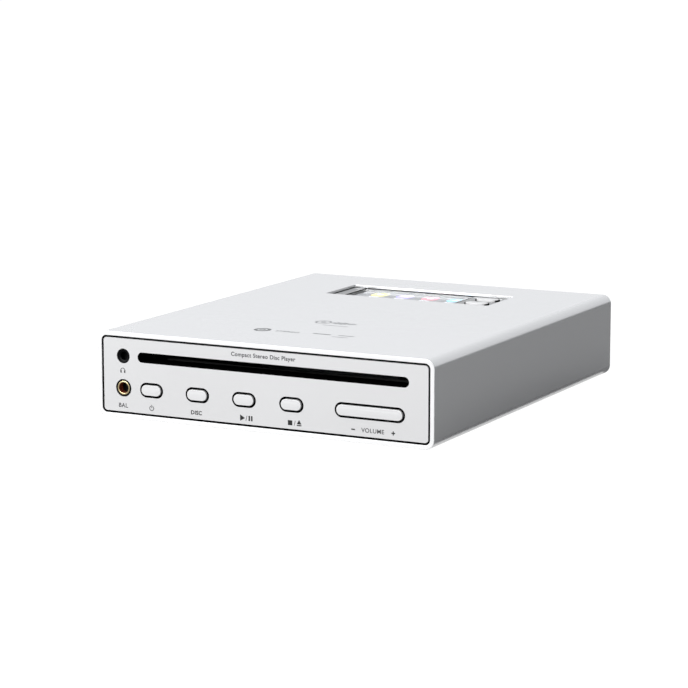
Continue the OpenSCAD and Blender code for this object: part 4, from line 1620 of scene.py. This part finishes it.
        far, near = 60.5 * MM, 31.8 * MM
        far_disc, near_disc = point(-3.2 * MM, far), point(-16.7 * MM, near)
        heights = (2.4, 4.2, 3.0, 5.0, 3.6, 2.0, 3.4, 1.6)
        signs = [bar((1.8 + 1.4 * i) * MM, far, 0.8 * MM, height * MM) for i, height in enumerate(heights)]
        signs += [
            self._ring(far_disc, Z, 3.6 * MM, 0.7 * MM),
            self._ring(far_disc, Z, 1.2 * MM, 0.7 * MM),
            bar(5.6 * MM, 54 * MM, 12 * MM, 0.5 * MM),
            self._ring(near_disc, Z, 3.7 * MM, 1.5 * MM),
            self._ring(near_disc, Z, 1.4 * MM, 0.7 * MM),
            Workpiece.lettering("STEREO", point(-5 * MM, near), 3 * MM, (0, 0, 0)),
            bar(10.4 * MM, 33.2 * MM, 8 * MM, 1.2 * MM),
            bar(21.4 * MM, 33.4 * MM, 7 * MM, 0.9 * MM),
            bar(20.4 * MM, 29.6 * MM, 7 * MM, 0.6 * MM),
        ]
        signs[0].gather(*signs[1:]).finished("top_legends", "case", Finishes.PALE_INK)

    def _rear(self) -> None:
        """The names of the sockets on the rear plate."""
        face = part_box("rear_panel")[1].y + self.thickness / 2
        named = (
            ("usb_socket", "POWER"), ("optical_socket", "OPTICAL"), ("coaxial_jack", "COAXIAL"),
            ("line_out_jack", "LINE OUT"),
        )
        signs = []
        for node, text in named:
            place = (middle_of(node)[0], face, CASE.under + self.rear_row)
            signs.append(Workpiece.lettering(text, place, 2.6 * MM, (math.pi / 2, 0, math.pi)))
        signs[0].gather(*signs[1:]).finished("rear_legends", "case", Finishes.INK)


@dataclass
class Inside:
    """The pieces inside the case, whose shapes come from the design."""

    finishes: dict[str, Finish] = field(
        default_factory=lambda: {
            "panel_gasket": Finishes.GASKET,
            "chassis_tray": Finishes.TRAY,
            "front_board": Finishes.BOARD,
            "front_switches": Finishes.SWITCH,
            "jack_board": Finishes.BOARD,
            "slot_guide": Finishes.GUIDE,
            # Painted shade: the top board darkened so the gap around the glass shows dark.
            "top_board": Finishes.BLACK_BOARD,
            "top_switches": Finishes.SWITCH,
            "display_ribbon": Finishes.RIBBON,
            "battery_pack": Finishes.CELLS,
            "main_board": Finishes.BOARD,
            "board_chips": Finishes.CHIP,
            "capacitors": Finishes.CANS,
            "shield_can": Finishes.TIN,
            # Painted shade: the loader base darkened where it shows through the slot.
            "loader_base": Finishes.SLOT_SHADE_STEEL,
            "loader_lid": Finishes.LOADER,
            "damper_grommets": Finishes.GROMMET,
            "damper_screws": Finishes.SCREWS,
            # Painted shade: the roller arm darkened where it shows through the slot.
            "roller_arm": Finishes.SLOT_SHADE_STEEL,
            "feed_roller": Finishes.ROLLER,
            "roller_pulley": Finishes.GEARS,
            "drive_belt": Finishes.BELT,
            "drive_gear": Finishes.GEARS,
            "loading_motor": Finishes.MOTOR,
            "motor_pinion": Finishes.GEARS,
            "cam_slider": Finishes.SLIDER,
            "clamp_arm": Finishes.LOADER,
            "clamp_puck": Finishes.CLAMP,
            "traverse_frame": Finishes.TRAVERSE,
            "spindle_motor": Finishes.MOTOR,
            "turntable": Finishes.CLAMP,
            "guide_rods": Finishes.SHAFT,
            "lead_screw": Finishes.SHAFT,
            "sled_motor": Finishes.MOTOR,
            "pickup_sled": Finishes.TRAVERSE,
            "pickup_lens": Finishes.LENS,
        }
    )

    def dress(self) -> None:
        """Gives every piece that keeps the design's shape its finish."""
        for node, finish in self.finishes.items():
            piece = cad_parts[node]
            piece.data.materials.clear()
            piece.data.materials.append(finish.material())
            log.info("%s: dressed in %s", node, finish.name)


# ---------- studio ----------


@dataclass(frozen=True)
class Softbox:
    """A square soft light.

    Attributes:
        name: Its name.
        place: Where it stands.
        aim: The point that it faces.
        size: The length of its sides.
        power: Its power in watts.
    """

    name: str
    place: Sequence[float]
    aim: Sequence[float]
    size: float
    power: float

    def build(self) -> None:
        """Adds the light."""
        deselect()
        turn = (Vector(self.aim) - Vector(self.place)).to_track_quat("-Z", "Y").to_euler()
        bpy.ops.object.light_add(type="AREA", location=self.place, rotation=turn)
        lamp = bpy.context.active_object
        lamp.name = self.name
        lamp.data.size = self.size
        lamp.data.energy = self.power


@dataclass
class Studio:
    """A plain pale floor, soft lights and the camera."""

    azimuth: float = 27.229
    elevation: float = 9.812
    distance: float = 1.0735
    lens: float = 136.68
    aim: Sequence[float] = (17.25 * MM, 39.49 * MM, 31.45 * MM)
    floor_size: float = 60.0
    floor_seen: float = 0.12
    floor_glow: float = 0.96
    floor_bounce: float = 0.24
    floor_near: float = 0.6
    apron: float = 1.5 * MM
    room_bright: float = 0.8
    room_dark: float = 0.08
    softboxes: Sequence[Softbox] = (
        Softbox("overhead softbox", (-0.3, 0.1, 1.3), (0, 0, 0), 1.4, 3.0),
        Softbox("front softbox", (-0.7, -1.6, 0.8), (0, 0, 0.02), 1.2, 29.0),
    )

    def build(self) -> None:
        """Sets up the floor, the lights, the surroundings and the camera."""
        self._floor()
        self._surroundings()
        for softbox in self.softboxes:
            softbox.build()
        self._camera()

    def _floor(self) -> None:
        """A wide pale floor at the level of the feet, lit under the case and dark in reflections."""
        deselect()
        bpy.ops.mesh.primitive_plane_add(size=self.floor_size, location=(0, 0, 0))
        floor = bpy.context.active_object
        floor.name = "studio_floor"
        made = bpy.data.materials.new("pale studio floor")
        made.use_nodes = True
        graph = Graph(made.node_tree)
        shader = made.node_tree.nodes["Principled BSDF"]
        seen = graph.add("LightPath").outputs["Is Camera Ray"]
        place = graph.add("SeparateXYZ", Vector=graph.add("TexCoord").outputs["Object"]).outputs
        beyond = [
            graph.math("SUBTRACT", graph.math("ABSOLUTE", place[axis]), half)
            for axis, half in (("X", CASE.high.x), ("Y", CASE.high.y))
        ]
        away = graph.math("MAXIMUM", *beyond)
        near = graph.add("MapRange", Value=away, From_Min=self.apron, From_Max=self.apron / 3).outputs[0]
        tone = graph.mix("FLOAT", seen, self.floor_bounce, self.floor_seen)
        graph.join(tone, shader.inputs["Base Color"])
        shader.inputs["Emission Color"].default_value = (1, 1, 1, 1)
        to_camera = graph.math("MULTIPLY", seen, self.floor_glow)
        under_case = graph.math("MULTIPLY", near, self.floor_near)
        graph.join(graph.math("MAXIMUM", to_camera, under_case), shader.inputs["Emission Strength"])
        shader.inputs["Roughness"].default_value = 0.9
        shader.inputs["Specular IOR Level"].default_value = 0.0
        floor.data.materials.append(made)

    def _surroundings(self) -> None:
        """A bright room above and to the left, and a dark flag low on the right."""
        world = bpy.data.worlds.new("studio room")
        world.use_nodes = True
        graph = Graph(world.node_tree)
        background = world.node_tree.nodes["Background"]
        way = graph.add("SeparateXYZ", Vector=graph.add("TexCoord").outputs["Generated"]).outputs
        left = graph.add(
            "MapRange", Value=way["X"], From_Min=0.3, From_Max=-0.15, interpolation_type="SMOOTHSTEP"
        ).outputs[0]
        above = graph.add(
            "MapRange", Value=way["Z"], From_Min=0.0, From_Max=0.12, interpolation_type="SMOOTHSTEP"
        ).outputs[0]
        behind = graph.add("MapRange", Value=way["X"], From_Min=0.75, From_Max=0.5).outputs[0]
        share = graph.math("MAXIMUM", left, graph.math("MULTIPLY", above, behind))
        graph.join(graph.spread(share, self.room_dark, self.room_bright), background.inputs["Strength"])
        background.inputs["Color"].default_value = (0.97, 0.98, 1, 1)
        bpy.context.scene.world = world

    def _camera(self) -> None:
        """The camera, a long lens in front, to the right and a little above."""
        aim = CASE.at(*self.aim)
        turn, rise = math.radians(self.azimuth), math.radians(self.elevation)
        level = math.cos(rise)
        away = Vector((math.sin(turn) * level, -math.cos(turn) * level, math.sin(rise)))
        view = (-away).to_track_quat("-Z", "Y").to_euler()
        deselect()
        bpy.ops.object.camera_add(location=aim + away * self.distance, rotation=view)
        camera = bpy.context.active_object
        camera.data.lens = self.lens
        camera.data.sensor_width = 36.0
        camera.data.clip_start = 0.01
        camera.data.clip_end = 100.0
        bpy.context.scene.camera = camera
        bpy.context.scene.view_settings.view_transform = "Standard"


def main() -> None:
    """Builds the sub-assemblies, dresses the inside and sets up the studio."""
    logging.basicConfig(level=logging.INFO, format="%(name)s: %(message)s")
    Sleeve().build()
    FrontPlate().build()
    FrontKeys().build()
    Jacks().build()
    SlotLips().build()
    Window().build()
    Feet().build()
    Rear().build()
    Legends().build()
    Inside().dress()
    Studio().build()


if __name__ == "__main__":
    main()
